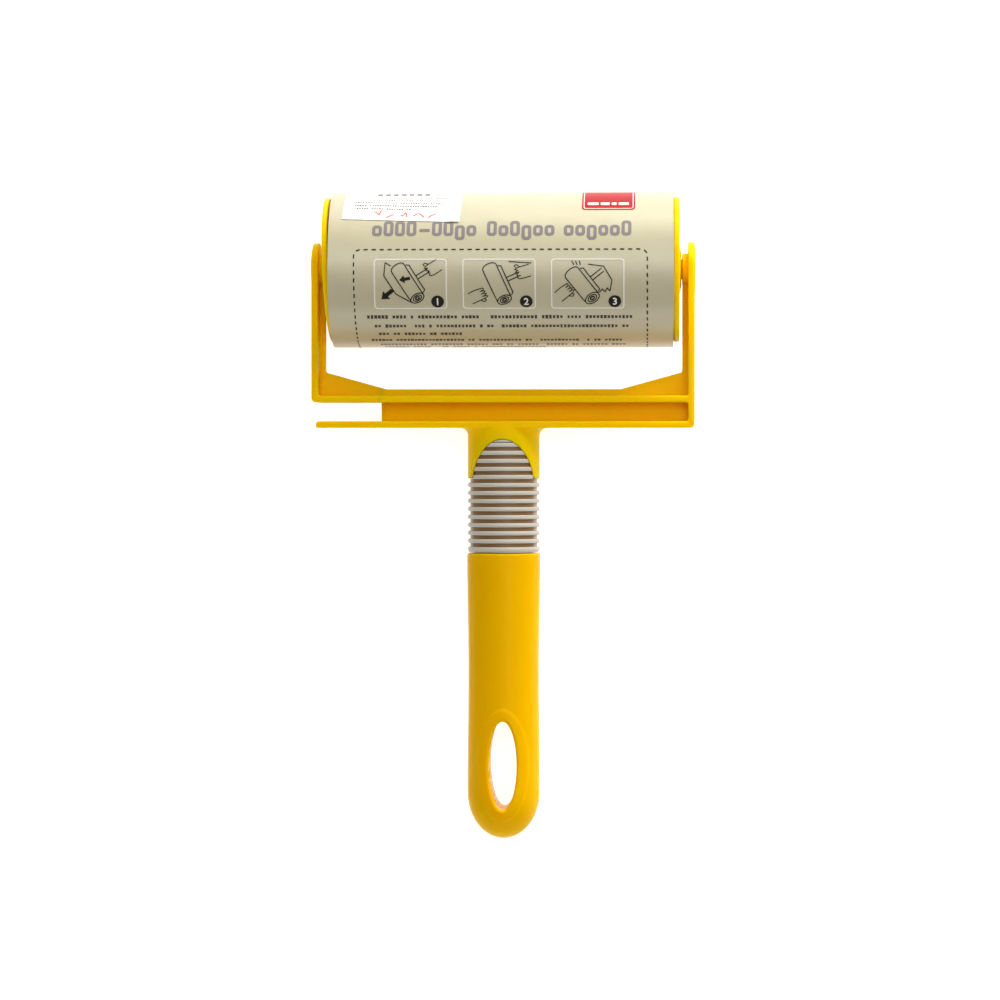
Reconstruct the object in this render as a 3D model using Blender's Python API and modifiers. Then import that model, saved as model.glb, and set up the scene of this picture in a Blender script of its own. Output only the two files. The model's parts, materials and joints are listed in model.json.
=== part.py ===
"""Lint roller: a sprung yellow frame, a grip, a handle and a roll of adhesive paper on end caps.

The parts are laid out about the roll's axis: X along the axis, Y away from the handle and Z up
through the tool's middle plane. The whole tool hangs on one empty, which tips it by a few degrees
so that it lies as it does on a table, on the roll and on the handle's end. World Z = 0 is the table.
"""

from math import asin, cos, pi, radians, sin, sqrt

import bmesh
import bpy

MM = 0.001

# ---- driving dimensions ----------------------------------------------------------------------
GAP = 0.3 * MM                    # air left between touching pieces

# the paper roll
SHEET_WIDTH = 100.0 * MM
CORE_BORE_R = 19.0 * MM
CORE_WALL = 1.0 * MM
SHEETS_THICK = 1.95 * MM          # the wound adhesive strip
SLEEVE_THICK = 0.3 * MM
LABEL_THICK = 0.2 * MM
LABEL_WIDTH = 34.0 * MM
LABEL_INSET = 4.0 * MM            # from the roll's left edge
LABEL_START = radians(-20.0)      # angles about the axis, from +Y towards +Z
LABEL_END = radians(53.0)
TAPE_THICK = 0.1 * MM
TAPE_WIDTH = 90.0 * MM
TAPE_START = radians(-62.0)
TAPE_END = radians(-42.0)

# the end caps
CAP_STEP = 1.55 * MM              # the disc is this much smaller than the roll, all round
CAP_THICK = 1.4 * MM
CAP_EDGE_R = 0.45 * MM
SPIGOT_LENGTH = 10.0 * MM
SPIGOT_WALL = 1.6 * MM
HUB_BASE_R = 8.1 * MM
HUB_TOP_R = 5.2 * MM
HUB_RISE = 0.6 * MM
HUB_BACK_R = 5.8 * MM
HUB_BACK = 2.0 * MM               # the hub's length behind the disc

# the pivots
PIVOT_R = 3.0 * MM
PIVOT_TIP_R = 0.9 * MM
PIVOT_LENGTH = 2.2 * MM
BOSS_R = 4.7 * MM

# the frame
ARM_THICK = 1.9 * MM
ARM_WEB = 1.7 * MM                # from the arm's inside to the web's edge
FRAME_DEPTH = 16.0 * MM
WEB_THICK = 2.0 * MM
RAIL_THICK = 1.95 * MM
BEAM_GAP = 12.35 * MM             # between the roll and the web's upper edge
WEB_LIP = 2.0 * MM                # the web above the upper rail
RAIL_SPACE = 5.5 * MM             # between the rails, and the slot's width
GUSSET_RISE = 5.0 * MM
GUSSET_RUN = 18.1 * MM
SLOT_LENGTH = 20.1 * MM
TONGUE_SHORT = 1.3 * MM           # the lower tongue ends this far inside the arm

# the neck, the grip and the handle; all are ovals of one shape
OVAL = 0.775                      # depth over width
NECK_HALF_WIDTH = 10.6 * MM
NECK_LENGTH = 14.9 * MM
NECK_ROOT = 3.0 * MM              # solid stretch above the grip
NECK_WALL = 1.3 * MM
NECK_FILLET = 2.4 * MM
ROOT_INSET = 0.4 * MM             # the fillets' ends lie this far inside the rail and the neck
ROOT_HALF_DEPTH = 2.0 * MM
EAR_WIDTH = 1.6 * MM              # left of the neck on each side of its window, at the foot
WINDOW_HEIGHT = 11.6 * MM
STEM_IN_HANDLE = 28.0 * MM
STEM_EDGE = 1.0 * MM
GRIP_LENGTH = 33.3 * MM
GRIP_WALL = 1.0 * MM              # where the neck covers the grip
RIB_RISE = 0.75 * MM
RIB_WIDTH = 1.25 * MM
RIB_PITCH = 2.36 * MM
HANDLE_LENGTH = 84.4 * MM
HANDLE_LIP = 0.2 * MM             # how far the handle's top stands out past the ribs
WAIST_IN = 0.4 * MM               # the handle's waist and foot, against its top
FOOT_IN = 0.15 * MM
HANDLE_EDGE_R = 0.8 * MM
HANDLE_END = 13.5 * MM            # length of the rounded end
CAVITY_PAST_STEM = 2.0 * MM
HOLE_HALF_WIDTH = 4.1 * MM
HOLE_HALF_LENGTH = 13.05 * MM
HOLE_FROM_END = 22.0 * MM         # from the hole's middle to the handle's end
PAD_HALF_WIDTH = 8.0 * MM         # the raised oval pad round the hole, on the front
PAD_HALF_LENGTH = 16.8 * MM
PAD_RISE = 0.25 * MM

ROUND_STEPS = 48
OVAL_STEPS = 40

# ---- sizes that follow ------------------------------------------------------------------------
HALF_SHEET = SHEET_WIDTH / 2
CORE_R = CORE_BORE_R + CORE_WALL
SHEETS_BORE_R = CORE_R + GAP
SHEETS_R = SHEETS_BORE_R + SHEETS_THICK
SLEEVE_BORE_R = SHEETS_R + GAP
SLEEVE_R = SLEEVE_BORE_R + SLEEVE_THICK
LABEL_R = SLEEVE_R + GAP + LABEL_THICK

CAP_R = SLEEVE_R - CAP_STEP
CAP_INSIDE = HALF_SHEET + GAP
CAP_FACE = CAP_INSIDE + CAP_THICK
HUB_FACE = CAP_FACE + HUB_RISE
SPIGOT_R = CORE_BORE_R - GAP

WEB_EDGE = HUB_FACE + GAP
ARM_INSIDE = WEB_EDGE + ARM_WEB
ARM_OUTSIDE = ARM_INSIDE + ARM_THICK
ARM_END_R = FRAME_DEPTH / 2
PIVOT_TIP = WEB_EDGE - PIVOT_LENGTH

BEAM_TOP = -(SLEEVE_R + BEAM_GAP)
UPPER_RAIL_TOP = BEAM_TOP - WEB_LIP
UPPER_RAIL_FOOT = UPPER_RAIL_TOP - RAIL_THICK
LOWER_RAIL_TOP = UPPER_RAIL_FOOT - RAIL_SPACE
LOWER_RAIL_FOOT = LOWER_RAIL_TOP - RAIL_THICK
SLOT_ROOT = -(ARM_OUTSIDE - SLOT_LENGTH)
HINGE_Y = (UPPER_RAIL_TOP + UPPER_RAIL_FOOT) / 2
TONGUE_END = -(ARM_OUTSIDE - TONGUE_SHORT)
GUSSET_FOOT = WEB_EDGE - GUSSET_RUN

NECK_FOOT = LOWER_RAIL_FOOT - NECK_LENGTH
GRIP_TOP = LOWER_RAIL_FOOT - NECK_ROOT - GAP
GRIP_FOOT = GRIP_TOP - GRIP_LENGTH
NECK_BORE = NECK_HALF_WIDTH - NECK_WALL
WINDOW_HALF_WIDTH = NECK_HALF_WIDTH - EAR_WIDTH
GRIP_HALF_WIDTH = NECK_HALF_WIDTH - RIB_RISE
GRIP_BORE = NECK_BORE - GAP - GRIP_WALL
STEM_HALF_WIDTH = GRIP_BORE - GAP
HANDLE_TOP = NECK_HALF_WIDTH + HANDLE_LIP
HANDLE_WAIST = HANDLE_TOP - WAIST_IN
HANDLE_FOOT = HANDLE_TOP - FOOT_IN
HANDLE_TOP_Y = GRIP_FOOT - GAP
HANDLE_FOOT_Y = HANDLE_TOP_Y - HANDLE_LENGTH
HANDLE_END_Y = HANDLE_FOOT_Y + HANDLE_END
STEM_FOOT = HANDLE_TOP_Y - STEM_IN_HANDLE
HOLE_Y = HANDLE_FOOT_Y + HOLE_FROM_END

YELLOW = (0.83, 0.50, 0.0)
parts = None
cutters = None


# ---- scene and small tools --------------------------------------------------------------------
def start():
    """Empty the scene and make the two collections."""
    global parts, cutters
    for old in list(bpy.data.objects):
        bpy.data.objects.remove(old, do_unlink=True)
    parts = bpy.data.collections.new("lint_roller")
    cutters = bpy.data.collections.new("cutters")
    bpy.context.scene.collection.children.link(parts)
    bpy.context.scene.collection.children.link(cutters)


def material(name, colour, roughness):
    """A plain moulded or paper surface."""
    made = bpy.data.materials.new(name)
    made.use_nodes = True
    surface = made.node_tree.nodes["Principled BSDF"]
    surface.inputs["Base Color"].default_value = (*colour, 1.0)
    surface.inputs["Roughness"].default_value = roughness
    surface.inputs["Metallic"].default_value = 0.0
    return made


def empty(name, parent, place=(0.0, 0.0, 0.0)):
    """A frame that other objects hang on."""
    made = bpy.data.objects.new(name, None)
    made.empty_display_size = 0.02
    made.parent = parent
    made.location = place
    parts.objects.link(made)
    return made


def add(name, mesh, parent, turn=(0.0, 0.0, 0.0), place=(0.0, 0.0, 0.0), squash=1.0):
    """Put a mesh in the scene as a part. squash flattens a turned shape to an oval."""
    made = bpy.data.objects.new(name, mesh)
    made.rotation_euler = turn
    made.location = place
    made.scale = (1.0, squash, 1.0)
    made.parent = parent
    parts.objects.link(made)
    return made


def as_cutter(shape):
    """Move a shape out of the model: it only cuts, or is only joined to, another."""
    parts.objects.unlink(shape)
    cutters.objects.link(shape)
    shape.hide_render = True
    shape.display_type = "WIRE"
    return shape


def combine(body, shape, operation):
    """Cut a shape from a body, or join it on."""
    boolean = body.modifiers.new(shape.name, "BOOLEAN")
    boolean.operation = operation
    boolean.solver = "EXACT"
    boolean.object = as_cutter(shape)


def finish(part, look):
    """Give a part its material."""
    part.data.materials.clear()
    part.data.materials.append(look)


def arc(centre, radius, start_angle, end_angle, count):
    """Points along a round stretch of an outline or a profile. radius may be a pair, for an oval."""
    wide, high = radius if isinstance(radius, tuple) else (radius, radius)
    angles = [start_angle + (end_angle - start_angle) * i / (count - 1) for i in range(count)]
    return [(centre[0] + wide * cos(a), centre[1] + high * sin(a)) for a in angles]


def outline(name, points, half_thick, parent, turn=(0.0, 0.0, 0.0), place=(0.0, 0.0, 0.0)):
    """A flat shape of even thickness, from its closed outline."""
    curve = bpy.data.curves.new(name, "CURVE")
    curve.dimensions = "2D"
    curve.fill_mode = "BOTH"
    curve.extrude = half_thick
    spline = curve.splines.new("POLY")
    spline.points.add(len(points) - 1)
    for point, (x, y) in zip(spline.points, points):
        point.co = (x, y, 0.0, 1.0)
    spline.use_cyclic_u = True
    flat = bpy.data.objects.new(name + "_outline", curve)
    parts.objects.link(flat)
    evaluated = flat.evaluated_get(bpy.context.evaluated_depsgraph_get())
    mesh = bpy.data.meshes.new_from_object(evaluated)
    mesh.name = name
    bpy.data.objects.remove(flat, do_unlink=True)
    clean = bmesh.new()
    clean.from_mesh(mesh)
    bmesh.ops.remove_doubles(clean, verts=clean.verts, dist=1e-6)
    bmesh.ops.recalc_face_normals(clean, faces=clean.faces)
    clean.to_mesh(mesh)
    clean.free()
    return add(name, mesh, parent, turn, place)


def block(name, low, high, parent):
    """A box between two corners."""
    cube = bmesh.new()
    bmesh.ops.create_cube(cube, size=1.0)
    size = [high[i] - low[i] for i in range(3)]
    centre = [(high[i] + low[i]) / 2 for i in range(3)]
    bmesh.ops.scale(cube, vec=size, verts=cube.verts)
    bmesh.ops.translate(cube, vec=centre, verts=cube.verts)
    mesh = bpy.data.meshes.new(name)
    cube.to_mesh(mesh)
    cube.free()
    return add(name, mesh, parent)


def turned(name, profile, parent, turn, steps, closed=False, squash=1.0, angle=2 * pi):
    """A turned shape. The profile's points are (radius, height), down its outer side."""
    mesh = bpy.data.meshes.new(name)
    count = len(profile)
    edges = [(i, i + 1) for i in range(count - 1)]
    if closed:
        edges.append((count - 1, 0))
    mesh.from_pydata([(r, 0.0, h) for r, h in profile], edges, [])
    made = add(name, mesh, parent, turn, squash=squash)
    screw = made.modifiers.new("turn", "SCREW")
    screw.axis = "Z"
    screw.angle = angle
    screw.steps = steps
    screw.render_steps = steps
    screw.use_merge_vertices = angle == 2 * pi
    screw.merge_threshold = 0.00001
    screw.use_smooth_shade = True
    return made


def ring(inside, outside, low, high):
    """The closed profile of a plain tube."""
    return [(outside, high), (outside, low), (inside, low), (inside, high)]


ALONG_RIGHT = (0.0, pi / 2, 0.0)      # a turned shape's own axis to +X
ALONG_LEFT = (0.0, -pi / 2, 0.0)      # to -X
ALONG_TOOL = (-pi / 2, 0.0, 0.0)      # to +Y, with its squashed side to Z
FACING_RIGHT = (pi / 2, 0.0, pi / 2)  # an outline's x to Y and its y to Z


# ---- the paper roll ---------------------------------------------------------------------------
def paper_tube(name, inside, outside, parent, look):
    """One layer of the roll, as wide as the sheets."""
    tube = turned(name, ring(inside, outside, -HALF_SHEET, HALF_SHEET), parent,
                  ALONG_RIGHT, ROUND_STEPS, closed=True)
    finish(tube, look)


def paper_patch(name, radius, thick, from_x, to_x, from_angle, to_angle, parent, look):
    """A sticker on the roll: a curved strip with its thickness. Angles run from +Y towards +Z."""
    mesh = bpy.data.meshes.new(name)
    # the strip's own axis lies along X, and its own +X points down, to -Z
    first = from_angle + pi / 2
    corner = (radius * cos(first), radius * sin(first))
    mesh.from_pydata([(*corner, to_x), (*corner, from_x)], [(0, 1)], [])
    patch = add(name, mesh, parent, ALONG_RIGHT)
    screw = patch.modifiers.new("turn", "SCREW")
    screw.axis = "Z"
    screw.angle = to_angle - from_angle
    screw.steps = 12
    screw.render_steps = 12
    screw.use_merge_vertices = False
    screw.use_smooth_shade = True
    wall = patch.modifiers.new("paper", "SOLIDIFY")
    wall.thickness = thick
    wall.offset = 1.0
    finish(patch, look)


def end_cap(name, parent, turn, look):
    """Disc, hub with the pivot's seat, and the plug that fills the core's end."""
    seat = PIVOT_R + GAP
    seat_floor = PIVOT_TIP - GAP
    edge = CAP_EDGE_R
    profile = [(0.0, seat_floor), (PIVOT_TIP_R, seat_floor), (seat, HUB_FACE)]
    profile += [(HUB_TOP_R, HUB_FACE), (HUB_BASE_R, CAP_FACE)]
    profile += arc((CAP_R - edge, CAP_FACE - edge), edge, pi / 2, 0.0, 3)
    profile += arc((CAP_R - edge, CAP_INSIDE + edge), edge, 0.0, -pi / 2, 3)
    plug_end = CAP_INSIDE - SPIGOT_LENGTH
    profile += [(SPIGOT_R, CAP_INSIDE), (SPIGOT_R, plug_end + edge), (SPIGOT_R - edge, plug_end)]
    profile += [(SPIGOT_R - SPIGOT_WALL, plug_end), (SPIGOT_R - SPIGOT_WALL, CAP_INSIDE)]
    profile += [(HUB_BACK_R, CAP_INSIDE), (HUB_BACK_R, CAP_INSIDE - HUB_BACK)]
    profile += [(0.0, CAP_INSIDE - HUB_BACK)]
    cap = turned(name, profile, parent, turn, ROUND_STEPS)
    finish(cap, look)


def paper_roll(axis, plastic, card, paper, printed, white, clear):
    """Everything that spins: caps, core, wound sheets, sleeve and stickers."""
    end_cap("right_end_cap", axis, ALONG_RIGHT, plastic)
    end_cap("left_end_cap", axis, ALONG_LEFT, plastic)
    paper_tube("paper_core", CORE_BORE_R, CORE_R, axis, card)
    paper_tube("sheet_roll", SHEETS_BORE_R, SHEETS_R, axis, paper)
    paper_tube("protective_sleeve", SLEEVE_BORE_R, SLEEVE_R, axis, printed)
    label_left = -HALF_SHEET + LABEL_INSET
    paper_patch("price_label", SLEEVE_R + GAP, LABEL_THICK, label_left, label_left + LABEL_WIDTH,
                LABEL_START, LABEL_END, axis, white)
    paper_patch("sleeve_tape", SLEEVE_R + GAP, TAPE_THICK, -TAPE_WIDTH / 2, TAPE_WIDTH / 2,
                TAPE_START, TAPE_END, axis, clear)


# ---- the frame --------------------------------------------------------------------------------
def arm_flange(name, side, parent, shift):
    """The arm's outer plate, with a round end about the pivot."""
    foot = LOWER_RAIL_FOOT if side > 0 else UPPER_RAIL_FOOT
    points = [(foot, -ARM_END_R)] + arc((0.0, 0.0), ARM_END_R, -pi / 2, pi / 2, 13)
    points += [(foot, ARM_END_R)]
    middle = side * (ARM_INSIDE + ARM_THICK / 2)
    place = (middle - shift[0], -shift[1], 0.0)
    return outline(name, points, ARM_THICK / 2, parent, FACING_RIGHT, place)


def pivot(name, side, parent, shift):
    """The boss on the arm's inside and the cone that the cap runs on."""
    reach = ARM_INSIDE + ARM_THICK / 2
    profile = [(0.0, reach), (BOSS_R, reach), (BOSS_R, WEB_EDGE)]
    profile += [(PIVOT_R, WEB_EDGE), (PIVOT_TIP_R, PIVOT_TIP), (0.0, PIVOT_TIP)]
    made = turned(name, profile, parent, ALONG_RIGHT if side > 0 else ALONG_LEFT, 32)
    made.location = (-shift[0], -shift[1], 0.0)
    return made


def web_top(x):
    """Height of the web's upper edge at a distance x from the tool's middle."""
    return BEAM_TOP + GUSSET_RISE * max(0.0, x - GUSSET_FOOT) / GUSSET_RUN


def side_web(end):
    """The web's upper outline: down the arm, down the gusset and along the beam to end."""
    points = [(ARM_INSIDE + ARM_THICK / 2, 0.0), (WEB_EDGE, 0.0), (WEB_EDGE, web_top(WEB_EDGE))]
    if end < GUSSET_FOOT:
        points.append((GUSSET_FOOT, BEAM_TOP))
    return points + [(end, web_top(end))]


def release_arm(hinge, look):
    """The left arm with the sprung end of the upper rail. Its origin is on the slot's root."""
    shift = (SLOT_ROOT, HINGE_Y)
    rail_end = SLOT_ROOT - GAP
    low = (-ARM_OUTSIDE - shift[0], UPPER_RAIL_FOOT - shift[1], -FRAME_DEPTH / 2)
    high = (rail_end - shift[0], UPPER_RAIL_TOP - shift[1], FRAME_DEPTH / 2)
    arm = block("release_arm", low, high, hinge)
    web = side_web(-rail_end) + [(-rail_end, HINGE_Y), (ARM_INSIDE + ARM_THICK / 2, HINGE_Y)]
    web = [(-x - shift[0], y - shift[1]) for x, y in web]
    combine(arm, outline("release_arm_web", web, WEB_THICK / 2, hinge), "UNION")
    combine(arm, arm_flange("release_arm_flange", -1, hinge, shift), "UNION")
    combine(arm, pivot("release_arm_pivot", -1, hinge, shift), "UNION")
    finish(arm, look)


def neck(parent):
    """The oval collar under the beam, with a window on each face that shows the grip."""
    profile = [(0.0, LOWER_RAIL_TOP - RAIL_THICK / 2)]
    profile += [(NECK_HALF_WIDTH, LOWER_RAIL_TOP - RAIL_THICK / 2), (NECK_HALF_WIDTH, NECK_FOOT)]
    profile += [(NECK_BORE, NECK_FOOT), (NECK_BORE, GRIP_TOP + GAP), (0.0, GRIP_TOP + GAP)]
    collar = turned("neck_collar", profile, parent, ALONG_TOOL, OVAL_STEPS, squash=OVAL)
    combine(collar, window("neck_window", 0.0, parent), "DIFFERENCE")
    return collar


def window(name, shrink, parent):
    """The arched window, through both faces and open at its foot."""
    wide = WINDOW_HALF_WIDTH - shrink
    spring_line = NECK_FOOT
    tall = WINDOW_HEIGHT - shrink
    points = arc((0.0, spring_line), (wide, tall), 0.0, pi, 17)
    points += [(-wide, spring_line - NECK_LENGTH), (wide, spring_line - NECK_LENGTH)]
    return outline(name, points, NECK_HALF_WIDTH, parent)


def neck_root(parent):
    """The flat block that flares the neck out to the lower rail."""
    top = LOWER_RAIL_TOP - RAIL_THICK / 3
    side = NECK_HALF_WIDTH - ROOT_INSET
    wide = side + NECK_FILLET
    foot = LOWER_RAIL_FOOT + ROOT_INSET
    corner = foot - NECK_FILLET
    points = [(-wide, top)] + arc((-wide, corner), NECK_FILLET, pi / 2, 0.0, 6)
    points += arc((wide, corner), NECK_FILLET, pi, pi / 2, 6) + [(wide, top)]
    return outline("neck_root", points, ROOT_HALF_DEPTH, parent)


def stem(parent):
    """The oval rod inside the grip and the handle."""
    edge = STEM_EDGE
    top = LOWER_RAIL_FOOT - NECK_ROOT / 2
    profile = [(0.0, top), (STEM_HALF_WIDTH, top)]
    profile += [(STEM_HALF_WIDTH, STEM_FOOT + edge), (STEM_HALF_WIDTH - edge, STEM_FOOT)]
    profile += [(0.0, STEM_FOOT)]
    return turned("frame_stem", profile, parent, ALONG_TOOL, OVAL_STEPS, squash=OVAL)


def frame(tool, look):
    """The main moulding: beam, right arm, tongue, neck and stem."""
    deep = FRAME_DEPTH / 2
    inside_arm = ARM_INSIDE + ARM_THICK / 2
    made = block("frame", (TONGUE_END, LOWER_RAIL_FOOT, -deep), (inside_arm, LOWER_RAIL_TOP, deep), tool)
    upper = block("upper_rail", (SLOT_ROOT, UPPER_RAIL_FOOT, -deep),
                  (inside_arm, UPPER_RAIL_TOP, deep), tool)
    combine(made, upper, "UNION")
    middle = LOWER_RAIL_TOP - RAIL_THICK / 2
    web = side_web(0.0)
    if -SLOT_ROOT > GUSSET_FOOT:
        web.append((-GUSSET_FOOT, BEAM_TOP))
    web += [(SLOT_ROOT, web_top(-SLOT_ROOT)), (SLOT_ROOT, middle), (inside_arm, middle)]
    combine(made, outline("frame_web", web, WEB_THICK / 2, tool), "UNION")
    combine(made, arm_flange("frame_flange", 1, tool, (0.0, 0.0)), "UNION")
    combine(made, pivot("frame_pivot", 1, tool, (0.0, 0.0)), "UNION")
    combine(made, neck(tool), "UNION")
    combine(made, neck_root(tool), "UNION")
    combine(made, stem(tool), "UNION")
    finish(made, look)


# ---- grip and handle --------------------------------------------------------------------------
def grip_profile():
    """The grip's outer side, with its ribs, then back up its bore."""
    points = [(GRIP_HALF_WIDTH, GRIP_TOP)]
    count = int((GRIP_LENGTH - RIB_WIDTH) / RIB_PITCH) + 1
    last = GRIP_FOOT + GAP + RIB_WIDTH / 2
    for i in reversed(range(count)):
        middle = last + i * RIB_PITCH
        if middle + RIB_WIDTH / 2 > GRIP_TOP - GAP:
            continue
        points += [(GRIP_HALF_WIDTH, middle + RIB_WIDTH / 2)]
        points += [(GRIP_HALF_WIDTH + RIB_RISE, middle + RIB_WIDTH / 3)]
        points += [(GRIP_HALF_WIDTH + RIB_RISE, middle - RIB_WIDTH / 3)]
        points += [(GRIP_HALF_WIDTH, middle - RIB_WIDTH / 2)]
    points += [(GRIP_HALF_WIDTH, GRIP_FOOT), (GRIP_BORE, GRIP_FOOT), (GRIP_BORE, GRIP_TOP)]
    return points


def grip_sleeve(tool, look):
    """The ribbed rubber sleeve. It is cut back where the neck's collar covers it."""
    grip = turned("grip_sleeve", grip_profile(), tool, ALONG_TOOL, OVAL_STEPS, closed=True, squash=OVAL)
    seat_low = NECK_FOOT - GAP
    seat_high = GRIP_TOP + NECK_ROOT
    seat = ring(NECK_BORE - GAP, NECK_HALF_WIDTH + NECK_WALL, seat_low, seat_high)
    around = turned("grip_seat", seat, tool, ALONG_TOOL, OVAL_STEPS, closed=True, squash=OVAL)
    combine(around, window("grip_window", GAP, tool), "DIFFERENCE")
    combine(grip, around, "DIFFERENCE")
    finish(grip, look)


def handle_side():
    """The handle's outer side, from its rounded top edge to its foot."""
    edge = HANDLE_EDGE_R
    points = arc((HANDLE_TOP - edge, HANDLE_TOP_Y - edge), edge, pi / 2, 0.0, 4)
    length = HANDLE_TOP_Y - edge - HANDLE_END_Y
    for i in range(1, 8):
        along = i / 8
        waist = HANDLE_TOP + (HANDLE_FOOT - HANDLE_TOP) * along
        sag = (waist - HANDLE_WAIST) * sin(pi * along) ** 2
        points.append((waist - sag, HANDLE_TOP_Y - edge - along * length))
    points += arc((0.0, HANDLE_END_Y), (HANDLE_FOOT, HANDLE_END), 0.0, -pi / 2, 10)
    return points[:-1] + [(0.0, HANDLE_FOOT_Y)]


def pad(tool):
    """The slightly raised oval pad round the hanging hole, on the front face only."""
    around = arc((0.0, HOLE_Y), (PAD_HALF_WIDTH, PAD_HALF_LENGTH), 0.0, 2 * pi, 33)[:-1]
    raised = outline("handle_pad", around, HANDLE_TOP, tool, place=(0.0, 0.0, HANDLE_TOP))
    side = [(r + PAD_RISE, y) for r, y in handle_side()[:-1]]
    side = [(0.0, side[0][1])] + side + [(0.0, side[-1][1])]
    combine(raised, turned("pad_face", side, tool, ALONG_TOOL, OVAL_STEPS, squash=OVAL), "INTERSECT")
    return raised


def handle(tool, look):
    """Hollow at the top for the stem, solid round the hanging hole."""
    bore = STEM_HALF_WIDTH + GAP
    floor = STEM_FOOT - CAVITY_PAST_STEM
    profile = [(0.0, floor), (bore, floor), (bore, HANDLE_TOP_Y)]
    made = turned("handle", profile + handle_side(), tool, ALONG_TOOL, OVAL_STEPS, squash=OVAL)
    around = arc((0.0, HOLE_Y), (HOLE_HALF_WIDTH, HOLE_HALF_LENGTH), 0.0, 2 * pi, 33)[:-1]
    combine(made, pad(tool), "UNION")
    combine(made, outline("hanging_hole", around, 2 * HANDLE_TOP, tool), "DIFFERENCE")
    finish(made, look)


# ---- the whole tool ---------------------------------------------------------------------------
def rest_tilt():
    """The tip at which the roll and the handle's oval end touch one table."""
    reach = -HANDLE_END_Y
    long_half = HANDLE_END
    deep_half = HANDLE_FOOT * OVAL
    square = reach ** 2 - long_half ** 2 + deep_half ** 2
    root = sqrt((SLEEVE_R * reach) ** 2 - square * (SLEEVE_R ** 2 - deep_half ** 2))
    return asin((SLEEVE_R * reach - root) / square)


def middle_of_length(tilt):
    """How far the roll's axis lies from the middle of the tool's length on the table."""
    end = sqrt((HANDLE_END * cos(tilt)) ** 2 + (HANDLE_FOOT * OVAL * sin(tilt)) ** 2)
    return (-HANDLE_END_Y * cos(tilt) + end - LABEL_R) / 2


def lint_roller():
    """Make every piece, and lay the tool down."""
    start()
    tilt = rest_tilt()
    tool = empty("tool", None, (0.0, middle_of_length(tilt), SLEEVE_R))
    tool.rotation_euler = (tilt, 0.0, 0.0)
    axis = empty("roll_axis", tool)
    hinge = empty("release_hinge", tool, (SLOT_ROOT, HINGE_Y, 0.0))
    plastic = material("yellow_plastic", YELLOW, 0.3)
    frame(tool, plastic)
    release_arm(hinge, plastic)
    grip_sleeve(tool, material("grey_rubber", (0.50, 0.47, 0.42), 0.6))
    handle(tool, plastic)
    paper_roll(axis, plastic, material("cardboard", (0.45, 0.33, 0.2), 0.9),
               material("adhesive_paper", (0.85, 0.85, 0.82), 0.4),
               material("printed_paper", (0.75, 0.72, 0.58), 0.4),
               material("white_label", (0.9, 0.9, 0.88), 0.4),
               material("clear_tape", (0.8, 0.8, 0.75), 0.2))


lint_roller()
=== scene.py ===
# Lint roller: a yellow moulded frame with a sprung arm, a ribbed grip, a handle and a roll in a sleeve.
# Every shape is laid out in millimetres on the tool itself: X along the roll's axis, Y away from the
# handle, Z up through the tool. Its place on the table is given to the mesh at the end.
import json
from math import atan2, ceil, cos, pi, radians, sin, sqrt, tan
from random import Random

import bmesh
import bpy
from mathutils import Matrix, Vector

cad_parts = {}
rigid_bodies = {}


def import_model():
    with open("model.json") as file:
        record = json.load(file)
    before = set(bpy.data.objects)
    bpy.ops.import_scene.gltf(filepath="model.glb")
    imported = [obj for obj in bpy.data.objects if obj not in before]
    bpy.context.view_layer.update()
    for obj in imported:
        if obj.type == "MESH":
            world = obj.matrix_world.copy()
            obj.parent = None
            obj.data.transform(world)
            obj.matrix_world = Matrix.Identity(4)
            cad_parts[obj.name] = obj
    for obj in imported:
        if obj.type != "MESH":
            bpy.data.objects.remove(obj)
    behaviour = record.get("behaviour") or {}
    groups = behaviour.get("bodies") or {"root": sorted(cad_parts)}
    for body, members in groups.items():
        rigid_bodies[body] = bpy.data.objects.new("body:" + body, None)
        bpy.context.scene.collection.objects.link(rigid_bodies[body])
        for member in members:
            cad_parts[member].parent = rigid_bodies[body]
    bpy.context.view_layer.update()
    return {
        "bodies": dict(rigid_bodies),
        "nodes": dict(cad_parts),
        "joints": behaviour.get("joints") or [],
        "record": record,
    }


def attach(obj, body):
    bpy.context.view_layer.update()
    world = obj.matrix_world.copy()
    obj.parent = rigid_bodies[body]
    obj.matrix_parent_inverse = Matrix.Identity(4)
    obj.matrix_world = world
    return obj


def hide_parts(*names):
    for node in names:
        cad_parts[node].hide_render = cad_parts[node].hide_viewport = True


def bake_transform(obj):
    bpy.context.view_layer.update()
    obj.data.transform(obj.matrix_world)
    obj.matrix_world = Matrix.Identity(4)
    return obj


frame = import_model()
nodes = frame["nodes"]
mm = 0.001

joints = {joint["name"]: joint for joint in frame["joints"]}
tiltAxis = joints["arm_release"]["axis"]
toolTilt = atan2(-tiltAxis[1], tiltAxis[2])
toolFrame = (Matrix.Translation(joints["roll_spin"]["pos_m"])
             @ Matrix.Rotation(toolTilt, 4, "X") @ Matrix.Scale(mm, 4))
fromWorld = toolFrame.inverted()


def toolBox(node):
    spots = [fromWorld @ vertex.co for vertex in nodes[node].data.vertices]
    low = Vector([min(spot[i] for spot in spots) for i in range(3)])
    high = Vector([max(spot[i] for spot in spots) for i in range(3)])
    return low, high


# ---------- materials ----------
def linear(code):
    shares = [int(code[i:i + 2], 16) / 255 for i in (1, 3, 5)]
    return [s / 12.92 if s <= 0.04045 else ((s + 0.055) / 1.055) ** 2.4 for s in shares] + [1.0]


def addNode(tree, kind, settings=None, sockets=None):
    made = tree.nodes.new(kind)
    for name, value in (settings or {}).items():
        setattr(made, name, value)
    for key, value in (sockets or {}).items():
        if isinstance(value, bpy.types.NodeSocket):
            tree.links.new(value, made.inputs[key])
        else:
            made.inputs[key].default_value = value
    return made


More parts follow.
